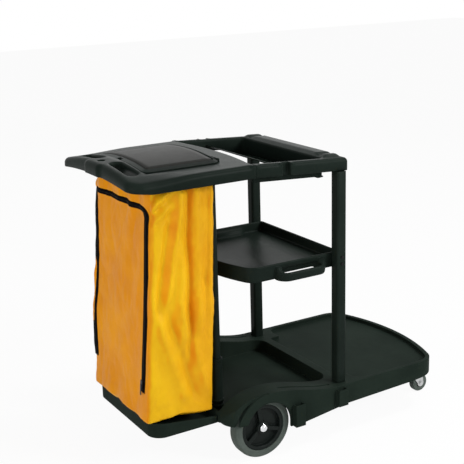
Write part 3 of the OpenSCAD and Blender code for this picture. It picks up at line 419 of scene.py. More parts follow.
def mouldedPlate(name, outer, topZ, lowZ, roundAt, plate, holes=(), guides=()):
    # a closed plate with a shaped top, rounded edges, a turned-down rim and rounded holes
    wall, skin, foot = plate["wall"], plate["skin"], 1.5 * mm
    roundSteps = 5
    turns = [math.pi / 2 * k / roundSteps for k in range(1, roundSteps + 1)]
    normals = inward(outer)
    radii = np.array([roundAt(x, y) for x, y in outer])[:, None]
    topLoop = outer + normals * radii
    holeLoops = [hole["loop"] - inward(hole["loop"]) * hole["round"] for hole in holes]
    flat, edges = flatPoints([topLoop, *holeLoops, *guides], plate["grid"])
    made = geometry.delaunay_2d_cdt([Vector(p) for p in flat], edges, [], 0, 1e-7)
    points, triangles, origins = made[0], made[2], made[3]
    verts = [(p.x, p.y, topZ(p.x, p.y)) for p in points]
    faces = []
    for t in triangles:
        middle = sum((points[i] for i in t), Vector((0, 0))) / 3
        if insideLoop(topLoop, middle) and not any(insideLoop(loop, middle) for loop in holeLoops):
            faces.append(tuple(t))
    place = {source: i for i, sources in enumerate(origins) for source in sources}

    def addRing(last, loop, heights):
        start = len(verts)
        verts.extend((x, y, z) for (x, y), z in zip(loop, heights))
        new = list(range(start, start + len(loop)))
        faces.extend(ringWall(last, new))
        return new

    under = len(verts)
    verts.extend([(x, y, z - skin) for x, y, z in verts])
    faces.extend([tuple(under + i for i in reversed(face)) for face in faces])
    last = [place[i] for i in range(len(topLoop))]
    for turn in turns:
        loop = outer + normals * radii * (1 - math.sin(turn))
        drops = radii[:, 0] * (1 - math.cos(turn))
        last = addRing(last, loop, [topZ(x, y) - drop for (x, y), drop in zip(loop, drops)])
    for inset, lift in ((0, foot), (foot, 0), (wall, 0)):
        last = addRing(last, outer + normals * inset, [lowZ(x, y) + lift for x, y in outer])
    last = addRing(last, outer + normals * wall, [topZ(x, y) - skin for x, y in outer])
    faces.extend(ringWall(last, [under + place[i] for i in range(len(topLoop))]))
    base = len(topLoop)
    for hole, loop in zip(holes, holeLoops):
        last = [place[base + i] for i in range(len(loop))]
        closing = [under + i for i in last]
        base += len(loop)
        line, turnIn = hole["loop"], inward(hole["loop"])
        for turn in turns:
            edge = line - turnIn * hole["round"] * (1 - math.sin(turn))
            drop = hole["round"] * (1 - math.cos(turn))
            last = addRing(last, edge, [topZ(x, y) - drop for x, y in edge])
        last = addRing(last, line, [hole["low"]] * len(line))
        faces.extend(ringWall(last, closing))
    return meshFrom(name, verts, faces)


# bag frame with the push handle
handle = {
    "faceX": axleX - 402 * mm, "seamX": axleX, "half": 256 * mm, "corner": 46 * mm,
    "bossOut": 7 * mm, "bossHalf": 46 * mm, "bossFlat": 4 * mm, "bossFade": 10 * mm,
    "crown": 21 * mm, "crownHalf": 211 * mm, "crownEndX": axleX - 320 * mm,
    "stepFront": 1 * mm, "stepRear": 4 * mm, "stepHalf": 164 * mm, "stepMargin": 1 * mm,
    "rampFront": 150 * mm, "rampRear": 26 * mm, "armInner": 168 * mm, "armOuter": 190 * mm,
    "rimDepth": 40 * mm, "faceDepth": 29 * mm, "faceFar": 75 * mm, "faceNear": 28 * mm, "arch": 12 * mm,
    "bow": 22 * mm, "bowHalf": 221 * mm, "bowLead": 8 * mm,
    "edge": 16 * mm, "seamEdge": 1.6 * mm, "seamMore": 3.4 * mm, "seamFar": 14 * mm, "seamNear": 1 * mm,
    "endNear": 4 * mm, "endFar": 24 * mm, "wall": 5 * mm, "skin": 6 * mm, "grid": 15 * mm,
}
slots = {"x": axleX - 354 * mm, "y": 113 * mm, "width": 38 * mm, "length": 138 * mm, "corner": 18 * mm,
         "round": 6 * mm, "low": rimZ - 20 * mm}
hanger = {"x": axleX - 373 * mm, "radius": 11 * mm, "points": 48, "round": 3 * mm, "low": rimZ - 16 * mm}
mouth = {"rearX": axleX - 298 * mm, "frontX": axleX - 112 * mm, "half": 150 * mm, "corner": 20 * mm,
         "round": 2 * mm, "low": rimZ - 6 * mm}


def handleTop(x, y):
    # the crown ends in a short step behind the lid, and in a long ramp along each arm
    h = handle
    end = h["crownEndX"]
    rise = h["crown"] * (1 - (y / h["crownHalf"]) ** 2)
    middle = smoothStep(end + h["stepFront"], end - h["stepRear"], x)
    side = smoothStep(end + h["rampFront"], end - h["rampRear"], x)
    out = smoothStep(h["armInner"], h["armOuter"], abs(y))
    return rimZ + rise * (middle * (1 - out) + side * out)


def handleLow(x, y):
    h = handle
    back = smoothStep(h["faceX"] + h["faceFar"], h["faceX"] + h["faceNear"], x)
    face = rimZ - h["faceDepth"] + h["arch"] * (1 - (y / h["crownHalf"]) ** 2)
    return (rimZ - h["rimDepth"]) * (1 - back) + face * back


def frameOutline():
    h = handle
    r = h["corner"]
    lead = h["bowHalf"] + h["bowLead"]
    front = [(h["seamX"], -h["half"]), (h["seamX"], -lead)]
    front += [(h["seamX"] + h["bow"] * (1 - t ** 2), h["bowHalf"] * t) for t in np.linspace(-1, 1, 25)]
    front += [(h["seamX"], lead), (h["seamX"], h["half"])]
    rear = arc(h["faceX"] + r, h["half"] - r, r, 90, 180, 10)
    for y in np.linspace(h["half"] - r, r - h["half"], 41):
        swell = smoothStep(h["bossHalf"] + h["bossFade"], h["bossHalf"] - h["bossFlat"], abs(y))
        rear.append((h["faceX"] - h["bossOut"] * swell, y))
    rear += arc(h["faceX"] + r, r - h["half"], r, 180, 270, 10)
    return evenLoop(front + rear, step=7 * mm)


def frameRound(x, y):
    # the edge is tight along the seam, and tightest at the seam's two ends
    h = handle
    near = smoothStep(h["seamX"] - h["seamFar"], h["seamX"] - h["seamNear"], x)
    inner = smoothStep(h["half"] - h["endNear"], h["half"] - h["endFar"], abs(y))
    return h["edge"] * (1 - near) + near * (h["seamEdge"] + inner * h["seamMore"])


def buildFrame():
    h, s, m = handle, slots, mouth
    holes = []
    for y in (-s["y"], s["y"]):
        line = roundedBox(s["x"] - s["width"] / 2, s["x"] + s["width"] / 2,
                          y - s["length"] / 2, y + s["length"] / 2, s["corner"])
        holes.append({"loop": evenLoop(line, step=5 * mm), "round": s["round"], "low": s["low"]})
    circle = arc(hanger["x"], 0, hanger["radius"], 0, 360, hanger["points"])[:-1]
    holes.append({"loop": np.array(circle), "round": hanger["round"], "low": hanger["low"]})
    line = roundedBox(m["rearX"], m["frontX"], -m["half"], m["half"], m["corner"])
    holes.append({"loop": evenLoop(line, step=8 * mm), "round": m["round"], "low": m["low"]})
    rear = h["crownEndX"] - h["stepRear"] - h["stepMargin"]
    front = h["crownEndX"] + h["stepFront"] + h["stepMargin"]
    stepLine = roundedBox(rear, front, -h["stepHalf"], h["stepHalf"], h["stepMargin"], 2)
    mesh = mouldedPlate("bagFrameShape", frameOutline(), handleTop, handleLow, frameRound, h, holes,
                        [evenLoop(stepLine, step=9 * mm)])
    return addPiece("bagFrameMoulded", mesh, "cart", "bag_frame")


bagFrame = buildFrame()
print("bag frame:", len(bagFrame.data.polygons), "faces")

# lid
cover = {
    "rearX": axleX - 318 * mm, "frontX": axleX - 66 * mm, "half": 166 * mm, "corner": 22 * mm,
    "bottom": 933.3 * mm, "edgeH": 3.4 * mm, "panelH": 8 * mm, "crown": 14 * mm,
    "edge": 1.4 * mm, "wall": 4 * mm, "skin": 2 * mm, "grid": 14 * mm,
    "grooveAt": 14 * mm, "grooveW": 4 * mm, "grooveDeep": 3 * mm, "grooveSlope": 0.8 * mm,
    "grooveLead": 1 * mm, "thumbR": 14 * mm, "thumbOut": 14 / 3 * mm,
}
hinge = {
    "x": axleX - 59 * mm, "z": 938.3 * mm, "y": 120 * mm, "chamfer": 0.6 * mm, "points": 24,
    "knuckleL": 23.2 * mm, "knuckleR": 4.7 * mm, "armIn": 3 * mm, "armLow": 0.2 * mm, "armHigh": 3.2 * mm,
    "lugAt": 16 * mm, "lugW": 8 * mm, "lugR": 5 * mm, "lugSunk": 2 * mm, "lugBelow": 0.4 * mm,
}


def coverDepth(x, y):
    # distance in from the lid's outline
    c = cover
    qx = abs(x - (c["rearX"] + c["frontX"]) / 2) - (c["frontX"] - c["rearX"]) / 2 + c["corner"]
    qy = abs(y) - c["half"] + c["corner"]
    return -(math.hypot(max(qx, 0), max(qy, 0)) + min(max(qx, qy), 0) - c["corner"])


def coverTop(x, y):
    c = cover
    d = coverDepth(x, y)
    near, far, slope = c["grooveAt"], c["grooveAt"] + c["grooveW"], c["grooveSlope"]
    step = (c["panelH"] - c["edgeH"]) * smoothStep(0, near, d)
    groove = smoothStep(near - slope, near, d) * smoothStep(far + slope, far, d)
    crown = c["crown"] * (1 - (y / c["half"]) ** 2)
    return c["bottom"] + c["edgeH"] + step + crown - c["grooveDeep"] * groove


def buildLid():
    c = cover
    turn = math.degrees(math.acos(c["thumbOut"] / c["thumbR"]))
    outline = roundedBox(c["rearX"], c["frontX"], -c["half"], c["half"], c["corner"])
    outline += arc(c["rearX"] - c["thumbOut"], 0, c["thumbR"], turn, -turn, 8)
    guides = []
    near, far, lead = c["grooveAt"], c["grooveAt"] + c["grooveW"], c["grooveLead"]
    for inset in (near - lead, near, far, far + lead):
        line = roundedBox(c["rearX"] + inset, c["frontX"] - inset, inset - c["half"], c["half"] - inset,
                          c["corner"] - inset)
        guides.append(evenLoop(line, step=5 * mm))
    mesh = mouldedPlate("lidShape", evenLoop(outline, step=4 * mm), coverTop, lambda x, y: c["bottom"],
                        lambda x, y: c["edge"], c, guides=guides)
    piece = addPiece("lidMoulded", mesh, "lid", "lid")
    mesh.materials.append(finishes["lidReflectionPlastic"])
    # the upward faces of the inner panel take the lighter lid plastic as a painted reflection; the rest
    # keeps the frame's black plastic
    for face in mesh.polygons:
        face.material_index = int(coverDepth(face.center.x, face.center.y) > far and face.normal.z > 0)
    return piece


def barrels(name, body, spans, radius, armX, armZ):
    # round hinge barrels along the pin, each on a flat arm
    g = hinge
    cut = g["chamfer"]
    verts, faces = [], []
    for start, end in spans:
        base = len(verts)
        for y, r in ((start, radius - cut), (start + cut, radius), (end - cut, radius), (end, radius - cut)):
            verts += [(x, y, z) for x, z in arc(g["x"], g["z"], r, 0, 360, g["points"])[:-1]]
        loft(faces, base, g["points"], 4)
        base = len(verts)
        y0, y1 = start + cut, end - cut
        low, high = armZ
        for x in armX:
            verts += [(x, y0, low), (x, y1, low), (x, y1, high), (x, y0, high)]
        loft(faces, base, 4, 2)
    addPiece(name, meshFrom(name + "Shape", verts, faces), body)


def buildHinges():
    g, c = hinge, cover
    knuckles, lugs = [], []
    for y in (-g["y"], g["y"]):
        knuckles.append((y - g["knuckleL"] / 2, y + g["knuckleL"] / 2))
        for middle in (y - g["lugAt"], y + g["lugAt"]):
            lugs.append((middle - g["lugW"] / 2, middle + g["lugW"] / 2))
    barrels("lidKnuckles", "lid", knuckles, g["knuckleR"], (c["frontX"] - g["armIn"], g["x"]),
            (c["bottom"] + g["armLow"], c["bottom"] + g["armHigh"]))
    barrels("hingeLugs", "cart", lugs, g["lugR"], (g["x"] - g["lugR"], g["x"] + g["lugR"]),
            (rimZ - g["lugSunk"], g["z"] - g["lugBelow"]))


lidPanel = buildLid()
buildHinges()
print("lid:", len(lidPanel.data.polygons), "faces")

# top tray: round rails, a tool notch on each side and a well with a sloping back
tray = {
    "seamX": axleX + 0.4 * mm, "frontX": axleX + 340 * mm, "half": 256 * mm, "innerHalf": 229 * mm,
    "wellFrontX": axleX + 257 * mm, "corner": 14 * mm, "fall": math.tan(math.radians(3.4)), "rimH": 40 * mm,
    "edge": 13 * mm, "innerEdge": 7 * mm, "tightEdge": 2 * mm, "tightFrom": 14 * mm, "tightTo": 1 * mm,
    "wall": 5 * mm, "skin": 5 * mm, "grid": 14 * mm, "slack": 1 * mm, "guard": 17 * mm,
    "notchX": axleX + 109 * mm, "notchW": 28 * mm, "notchD": 16 * mm, "notchCorner": 3 * mm,
    "notchFrom": 14 * mm, "notchTo": 3 * mm,
    "padX": axleX + 268 * mm, "padH": 8 * mm, "padHalf": 236 * mm, "padRun": 8 * mm,
    "padFront": 24 * mm, "padEnd": 12 * mm,
    "grooveY": 196 * mm, "grooveOuter": 9 * mm, "grooveInner": 5 * mm,
}
well = {"lipX": axleX + 110 * mm, "lipZ": 908 * mm, "floorX": axleX + 237 * mm, "floorZ": 862 * mm,
        "plate": 4 * mm, "tuck": 2 * mm, "nose": 1 * mm, "steps": 24}


def trayTop(x, y):
    # the rim falls a little to the front, where a low pad with two grooves lies
    d = tray
    pad = smoothStep(d["padX"], d["padX"] + d["padRun"], x)
    pad *= smoothStep(d["frontX"] - d["padEnd"], d["frontX"] - d["padFront"], x)
    pad *= smoothStep(d["padHalf"], d["padHalf"] - d["padRun"], abs(y))
    groove = smoothStep(d["grooveOuter"], d["grooveInner"], abs(abs(y) - d["grooveY"]))
    return rimZ - (x - d["seamX"]) * d["fall"] + d["padH"] * pad * (1 - groove)


def wellZ(x):
    # height of the well's floor, which climbs to a lip at its rear end
    w = well
    share = min(1.0, max(0.0, (w["floorX"] - x) / (w["floorX"] - w["lipX"])))
    return w["floorZ"] + (w["lipZ"] - w["floorZ"]) * share


def isInner(x, y):
    d = tray
    return abs(y) < d["innerHalf"] + d["slack"] and x < d["wellFrontX"] + d["slack"]


def trayLow(x, y):
    d = tray
    rim = trayTop(x, d["half"]) - d["rimH"]
    if not isInner(x, y):
        return rim
    return min(rim - d["guard"] * (y < 0), wellZ(x) - well["plate"])


def trayRound(x, y):
    d = tray
    full = d["innerEdge"] if isInner(x, y) else d["edge"]
    calm = smoothStep(d["seamX"] + d["tightTo"], d["seamX"] + d["tightFrom"], x)
    if not isInner(x, y):
        end = d["notchW"] / 2
        calm *= smoothStep(end + d["notchTo"], end + d["notchFrom"], abs(x - d["notchX"]))
    return d["tightEdge"] + (full - d["tightEdge"]) * calm


def trayOutline():
    d = tray
    r, small = d["corner"], d["notchCorner"]
    x0, x1 = d["notchX"] - d["notchW"] / 2, d["notchX"] + d["notchW"] / 2
    y = d["notchD"] - d["half"] - small
    notch = [(x0, -d["half"])] + arc(x0 + small, y, small, 180, 90, 4) + arc(x1 - small, y, small, 90, 0, 4)
    notch.append((x1, -d["half"]))
    right = [(d["seamX"], -d["half"])] + notch + arc(d["frontX"] - r, r - d["half"], r, 270, 360, 8)
    left = [(x, -y) for x, y in reversed(right)]
    back, inner = d["wellFrontX"] - r, d["innerHalf"] - r
    inside = [(d["seamX"], d["innerHalf"])] + arc(back, inner, r, 90, 0, 8) + arc(back, -inner, r, 0, -90, 8)
    inside.append((d["seamX"], -d["innerHalf"]))
    return evenLoop(right + left + inside, step=4 * mm)


def buildTray():
    d, w = tray, well
    mesh = mouldedPlate("topTrayShape", trayOutline(), trayTop, trayLow, trayRound, d)
    piece = addPiece("topTrayMoulded", mesh, "cart", "top_tray")
    along = np.linspace(w["lipX"] + w["tuck"], d["wellFrontX"] + w["tuck"], w["steps"])
    side = [(x, wellZ(x)) for x in along]
    side += [(x, z - w["plate"]) for x, z in reversed(side)]
    side += [(w["lipX"], w["lipZ"] + w["nose"] - w["plate"]), (w["lipX"], w["lipZ"] - w["nose"])]
    verts, faces = [], []
    addPrism(verts, faces, side, d["innerHalf"] + w["tuck"])
    addPiece("bottleWell", meshFrom("bottleWellShape", verts, faces), "cart")
    return piece


topTray = buildTray()
print("top tray:", len(topTray.data.polygons), "faces")

# middle shelf with its hand loops
shelf = {
    "rearX": axleX - 55 * mm, "frontX": axleX + 325 * mm, "half": 229 * mm, "bowR": 546 * mm,
    "corner": 40 * mm, "frontCorner": 14 * mm, "low": 562 * mm, "high": 610 * mm, "under": 571 * mm,
    "floor": 6 * mm, "wall": 8 * mm, "foot": 5 * mm, "skirt": 5 * mm, "lip": 1.5 * mm,
    "recess": 15 * mm, "recessBend": 4 * mm, "recessTop": 9 * mm, "recessFrom": 12 * mm, "recessTo": 28 * mm,
    "sideways": 0.9,
}
handLoop = {
    "rearX": axleX + 84 * mm, "frontX": axleX + 256 * mm, "out": 36 * mm, "width": 13 * mm,
    "low": 557 * mm, "high": 584 * mm, "turn": 26 * mm, "rise": 16 * mm, "rootW": 12 * mm,
    "rootFar": 24 * mm, "rootNear": 2 * mm, "tuck": 3 * mm,
    "steps": 60, "points": 20, "fullAcross": 0.6, "fullUp": 0.45,
}
tongue = {"half": 45 * mm, "height": 28 * mm, "tuck": 12 * mm, "chamfer": 2 * mm,
          "braceX": axleX - 84 * mm, "braceZ": 578 * mm, "braceR": 10.2 * mm}


def shelfOutline():
    # bowed rear edge running into the straight sides through round corners
    s = shelf
    bowX = s["rearX"] + s["bowR"]
    cornerY = s["half"] - s["corner"]
    cornerX = bowX - math.sqrt((s["bowR"] - s["corner"]) ** 2 - cornerY ** 2)
    meet = math.degrees(math.atan2(cornerY, bowX - cornerX))
    bow = arc(bowX, 0, s["bowR"], 180 - meet, 180 + meet, 40)
    right = arc(cornerX, -cornerY, s["corner"], 180 + meet, 270, 10)
    left = arc(cornerX, cornerY, s["corner"], 90, 180 - meet, 10)
    r = s["frontCorner"]
    front = arc(s["frontX"] - r, r - s["half"], r, 270, 360, 6)
    front += arc(s["frontX"] - r, s["half"] - r, r, 0, 90, 6)
    return evenLoop(bow + right + front + left, step=6 * mm)


def shelfProfile():
    # inset and height, from the hollow skirt over the rounded rim to the floor
    s = shelf
    low, under, wall, skirt, lip, foot = (s[k] for k in ("low", "under", "wall", "skirt", "lip", "foot"))
    half, inner = wall / 2, under + s["floor"]
    bend, top = handLoop["high"] + s["recessBend"], handLoop["high"] + s["recessTop"]
    profile = [(wall, under), (skirt, under), (skirt, low + lip), (skirt - lip, low)]
    profile += [(lip, low), (0, low + lip), (0, under), (0, handLoop["high"]), (0, bend), (0, top)]
    profile += arc(half, s["high"] - half, half, 180, 0, 10)
    profile += [(wall, top), (wall, bend), (wall, inner + foot)]
    return profile + arc(wall + foot, inner + foot, foot, 180, 270, 5)


def behindLoop(x, normal):
    # one behind the open part of a hand loop and zero elsewhere
    s, g = shelf, handLoop
    rear = smoothStep(g["rearX"] + s["recessFrom"], g["rearX"] + s["recessTo"], x)
    front = smoothStep(g["frontX"] - s["recessFrom"], g["frontX"] - s["recessTo"], x)
    return rear * front * (abs(normal[1]) > s["sideways"])


def buildShelf():
    s = shelf
    loop = shelfOutline()
    normals = inward(loop)
    profile = shelfProfile()
    verts, faces = [], []
    for inset, z in profile:
        deep = s["recess"] * smoothStep(handLoop["high"] + s["recessTop"], handLoop["high"], z)
        for point, normal in zip(loop, normals):
            behind = behindLoop(point[0], normal)
            x, y = point + normal * (inset + deep * behind)
            verts.append((x, y, z + max(0, s["under"] - z) * behind))
    loft(faces, 0, len(loop), len(profile))
    for side in (-1, 1):
        addHandLoop(verts, faces, side)
    addTongue(verts, faces)
    return addPiece("midShelfMoulded", meshFrom("midShelfShape", verts, faces), "cart", "mid_shelf")


def fuller(value, power):
    # rounds a circle out towards a square
    return math.copysign(abs(value) ** power, value)


def addHandLoop(verts, faces, side):
    # a flat bar bent out from the wall and back, higher and wider at its two roots
    g, half = handLoop, shelf["half"]
    r = g["turn"]
    rootY, outY = half - g["tuck"], half + g["out"] - g["width"] / 2
    x0, x1 = g["rearX"] + g["width"] / 2, g["frontX"] - g["width"] / 2
    line = [(x0, rootY)] + arc(x0 + r, outY - r, r, 180, 90, 10)
    line = np.array(line + arc(x1 - r, outY - r, r, 90, 0, 10) + [(x1, rootY)])
    path = pointsAt(line, np.linspace(0, lengthsOf(line)[-1], g["steps"]))
    base = len(verts)
    for (x, y), (tx, ty) in zip(path, directions(path)):
        root = smoothStep(half + g["rootFar"], half + g["rootNear"], y)
        middle = (g["low"] + g["high"] + root * g["rise"]) / 2
        tall = (g["high"] - g["low"] + root * g["rise"]) / 2
        wide = (g["width"] + root * g["rootW"]) / 2
        for i in range(g["points"]):
            turn = 2 * math.pi * i / g["points"]
            across = fuller(math.cos(turn), g["fullAcross"]) * wide
            up = fuller(math.sin(turn), g["fullUp"]) * tall
            verts.append((x - ty * across, side * (y + tx * across), middle + up))
    loft(faces, base, g["points"], len(path))


def addTongue(verts, faces):
    # the rear tongue, with its half-round seat on the brace
    g = tongue
    x, cut = g["braceX"], g["chamfer"]
    low, high = g["braceZ"] - g["height"] / 2, g["braceZ"] + g["height"] / 2
    front = shelf["rearX"] + g["tuck"]
    side = arc(x, g["braceZ"], g["braceR"], -90, 90, 12)
    side += [(x, high - cut), (x + cut, high), (front, high), (front, low), (x + cut, low), (x, low + cut)]
    addPrism(verts, faces, side, g["half"])


midShelf = buildShelf()
print("middle shelf:", len(midShelf.data.polygons), "faces")

# mouldings that keep the solid's own form, with rounded edges
steelLook = {"finish": "zinc_steel", "slotName": "zinc_steel", "segments": 2}
roundings = (
    ("front_post_{}", "cart", 0.6 * mm, {}),
    ("post_tower_{}", "cart", 1.2 * mm, {}),
    ("wheel_hub_{}", "rear_wheel_{}", 1.6 * mm, {"finish": "hubPlastic"}),
    ("caster_fork_{}", "caster_swivel_{}", 0.7 * mm, steelLook),
    ("caster_plate_{}", "cart", 0.6 * mm, steelLook),
)
for side in ("right", "left"):
    for node, body, radius, look in roundings:
        softEdges(node.format(side), body.format(side), radius, **look)
print("rounded mouldings made")

# waste bag, with the zip on its back
bag = {
    "rearTop": axleX - 312 * mm, "frontTop": axleX - 108 * mm, "halfTop": 202 * mm,
    "rearLow": axleX - 362 * mm, "frontLow": axleX - 134 * mm, "halfLow": 198 * mm,
    "lowZ": 182 * mm, "topZ": 919 * mm, "corner": 14 * mm, "around": 300, "up": 170,
    "edgeRise": 7 * mm, "edgeFall": 9 * mm, "fallAcross": (0.5, 1.0), "edgeUp": (0.12, 0.0),
    "rearRise": 6 * mm, "rearRiseY": 20 * mm, "rearRiseHalf": 110 * mm, "riseAcross": (0.3, 0.0),
    "sag": ((0.97, 4 * mm), (0.85, 18 * mm), (0.6, 38 * mm), (0.25, 46 * mm)), "deepest": 47 * mm,
}
fastener = {
    "half": 168 * mm, "lean": 160 * mm, "farHalf": 184 * mm, "lowZ": 272 * mm, "highZ": 828.5 * mm,
    "corner": 26 * mm, "farCorner": 10 * mm, "bow": 6 * mm, "width": 18 * mm, "legWidth": 27 * mm,
    "thick": 1.0 * mm, "toothL": 2.0 * mm, "toothW": 5.0 * mm, "toothGap": 3.2 * mm, "toothTaper": 0.7,
    "legTurn": (0.3, 0.9),
    "section": ((-0.5, 0.15), (-0.42, 1.0), (0.0, 1.15), (0.42, 1.0), (0.5, 0.15)),
}
# a row of noise has its height, scale across, scale up and seed
# a pair has the two shares of the bag's height or depth between which a fold comes or goes
folds = {
    "waves": ((1.4 * mm, 11, 6, 3.1), (0.6 * mm, 30, 19, 7.7), (2.4 * mm, 5, 2.6, 1.3)),
    "crumple": ((1.0, 8, 3.6, 2.2), (0.55, 17, 9, 6.4), (0.25, 36, 24, 4.9)), "crumpleMean": 0.35,
    "sideCrumple": 13 * mm, "rearCrumple": 9.5 * mm,
    "gather": 3 * mm, "rearGather": 2 * mm, "gatherUp": (0.74, 0.99),
    "pucker": 9 * mm, "puckerUp": (0.78, 0.90), "puckerAcross": (0.42, 0.10),
    "cross": 3 * mm, "crossUp": (0.05, 0.2), "crossEnd": (0.7, 0.4),
    "belly": 4 * mm, "rearIn": 3 * mm, "hem": (0.965, 0.995), "hemIn": 0.6 * mm,
    "calmHalf": 24 * mm, "calmEnd": (0.86, 0.80), "calmIn": 0.8 * mm,
    "swing": 0.03, "swingTurns": 5, "stray": (0.02, 1, 4, 8),
}
pleats = {
    "gather": {"across": (1, 0.6, 0), "pitch": 105, "stray": (2.5, 7, 5, 5)},
    "pucker": {"across": (-0.7, 0, 1), "pitch": 150, "stray": (3, 9, 9, 4)},
    "cross": {"across": (0, 0.5, 1), "pitch": 17, "stray": (2, 3, 3, 9)},
}
noEnd = (1.2, 1.1)  # above the hem, so that the crease runs all the way up
lowPart = ((0.02, 0.10), (0.62, 0.38))
middlePart = ((0.38, 0.52), (0.92, 0.78))
# height, place across the side, width, lean, sway, and the shares where it grows and where it ends
creases = (
    (-15 * mm, 0.60, 0.045, 0, 1, (0.14, 0.34), noEnd),
    (9 * mm, 0.45, 0.07, 0, 1, (0.14, 0.34), noEnd),
    (6 * mm, 0.74, 0.06, 0, 1, (0.2, 0.5), noEnd),
    (-7 * mm, 0.88, 0.05, 0, -1, (0.3, 0.5), (1.0, 0.85)),
    (12 * mm, 0.62, 0.07, 1.15, 0, *lowPart),
    (-10.8 * mm, 0.80, 0.06, 1.15, 0, *lowPart),
    (9.6 * mm, 1.00, 0.07, 1.15, 0, *lowPart),
    (11 * mm, 0.049, 0.05, -0.42, 0, *middlePart),
    (-9.9 * mm, -0.071, 0.05, -0.42, 0, *middlePart),
)


def bagSection(v):
    # rear end, front end and half width of the plain bag at a share of its height
    b = bag
    return [b[key + "Low"] + (b[key + "Top"] - b[key + "Low"]) * v for key in ("rear", "front", "half")]


def crumple(x, y, z):
    # sharp valleys where the noise passes through zero, as in stiff coated cloth
    ridges = sum(share * abs(wavy(x, y, z, *scales)) for share, *scales in folds["crumple"])
    return ridges - folds["crumpleMean"]


def pleatAt(kind, x, y, z):
    row = pleats[kind]
    ax, ay, az = row["across"]
    stray, *scales = row["stray"]
    return math.sin(row["pitch"] * (ax * x + ay * y + az * z) + stray * wavy(x, y, z, *scales))


def creaseAt(span, v):
    stray, *scales = folds["stray"]
    wander = folds["swing"] * math.sin(folds["swingTurns"] * v) + stray * wavy(1, 2, v, *scales)
    out = 0.0
    for height, at, width, lean, sway, grows, ends in creases:
        strength = smoothStep(*grows, v) * smoothStep(*ends, v)
        out += height * strength * bump(span + lean * v, at + sway * wander, width)
    return out


def clothOut(x, y, z, nx, ny, v):
    # how far the cloth stands out from the plain form at this place
    f = folds
    rear, front, _ = bagSection(v)
    span = (x - rear) / (front - rear)
    rearShare, sideShare = max(0, -nx), abs(ny)
    out = sum(height * wavy(x, y, z, *scales) for height, *scales in f["waves"])
    out += (f["sideCrumple"] * sideShare + f["rearCrumple"] * rearShare) * crumple(x, y, z)
    gather = f["gather"] + f["rearGather"] * rearShare
    out += gather * smoothStep(*f["gatherUp"], v) * pleatAt("gather", x, y, z)
    pucker = f["pucker"] * smoothStep(*f["puckerUp"], v) * smoothStep(*f["puckerAcross"], span)
    belly = f["belly"] * math.sin(math.pi * v)
    out += sideShare * (creaseAt(span, v) + pucker * pleatAt("pucker", x, y, z) + belly)
    cross = f["cross"] * smoothStep(*f["crossUp"], v) * smoothStep(*f["crossEnd"], v)
    out += rearShare * (cross * pleatAt("cross", x, y, z) - f["rearIn"])
    leg = fastener["lean"] + (fastener["half"] - fastener["lean"]) * v
    calm = rearShare * bump(y, -leg, f["calmHalf"]) * smoothStep(*f["calmEnd"], v)
    out = out * (1 - calm) - f["calmIn"] * calm  # the slider runs here, so the cloth stays behind it
    return out * (1 - smoothStep(*f["hem"], v)) - f["hemIn"]


def edgeDrop(x, y, v):
    # the lower edge of the bag is not level
    b = bag
    span = (x - b["rearLow"]) / (b["frontLow"] - b["rearLow"])
    lift = b["edgeRise"] * math.sin(math.pi * min(1, max(0, span)))
    lift -= b["edgeFall"] * smoothStep(*b["fallAcross"], span)
    lift += b["rearRise"] * bump(y, b["rearRiseY"], b["rearRiseHalf"]) * smoothStep(*b["riseAcross"], span)
    return lift * smoothStep(*b["edgeUp"], v)


def bagRing(v):
    b = bag
    rear, front, half = bagSection(v)
    loop = evenLoop(roundedBox(rear, front, -half, half, b["corner"], 10), count=b["around"])
    z = b["lowZ"] + (b["topZ"] - b["lowZ"]) * v
    points = []
    for (x, y), (nx, ny) in zip(loop, -inward(loop)):
        out = clothOut(x, y, z, nx, ny, v)
        points.append((x + nx * out, y + ny * out, z + edgeDrop(x, y, v)))
    return points


def buildBag():
    b = bag
    count = b["around"]
    verts, faces = [], []
    for j in range(b["up"] + 1):
        verts += bagRing(j / b["up"])
    for start in range(0, b["up"] * count, count):
        faces += ringWall(range(start, start + count), range(start + count, start + 2 * count))
    bottom = np.array(verts[:count])
    middle = bottom.mean(0)
    before = range(count)
    for share, sag in b["sag"]:
        now = range(len(verts), len(verts) + count)
        verts += [tuple(p) for p in middle + (bottom - middle) * share - (0, 0, sag)]
        for i in range(count):
            k = (i + 1) % count
            faces.append((before[i], now[i], now[k], before[k]))
        before = now
    verts.append(tuple(middle - (0, 0, b["deepest"])))
    faces += [(before[i], len(verts) - 1, before[(i + 1) % count]) for i in range(count)]
    mesh = meshFrom("wasteBagShape", verts, faces)
    piece = addPiece("wasteBag", mesh, "cart", "bag_shell", finish="yellow_nylon", slotName="yellow_nylon")
    return piece


wasteBag = buildBag()
print("waste bag:", len(wasteBag.data.polygons), "faces")


def rearCloth(y, z):
    b = bag
    v = (z - b["lowZ"]) / (b["topZ"] - b["lowZ"])
    rear = bagSection(v)[0]
    return rear - clothOut(rear, y, z, -1, 0, v)


def zipLine():
    f = fastener
    near, far = f["highZ"] - f["corner"], f["highZ"] - f["farCorner"]
    points = [(-f["lean"], f["lowZ"]), (-f["half"], near)]
    points += arc(f["corner"] - f["half"], near, f["corner"], 180, 90, 10)
    points += arc(f["farHalf"] - f["farCorner"], far, f["farCorner"], 90, 0, 10)
    line = np.array(points + [(f["farHalf"], f["lowZ"])])
    line = pointsAt(line, np.arange(0, lengthsOf(line)[-1], f["toothGap"]))
    rise = np.clip((line[:, 1] - f["lowZ"]) / (near - f["lowZ"]), 0, 1)
    line[:, 0] -= f["bow"] * np.sin(math.pi * rise) * (line[:, 0] < 0)  # the near leg hangs in a slight bow
    return line


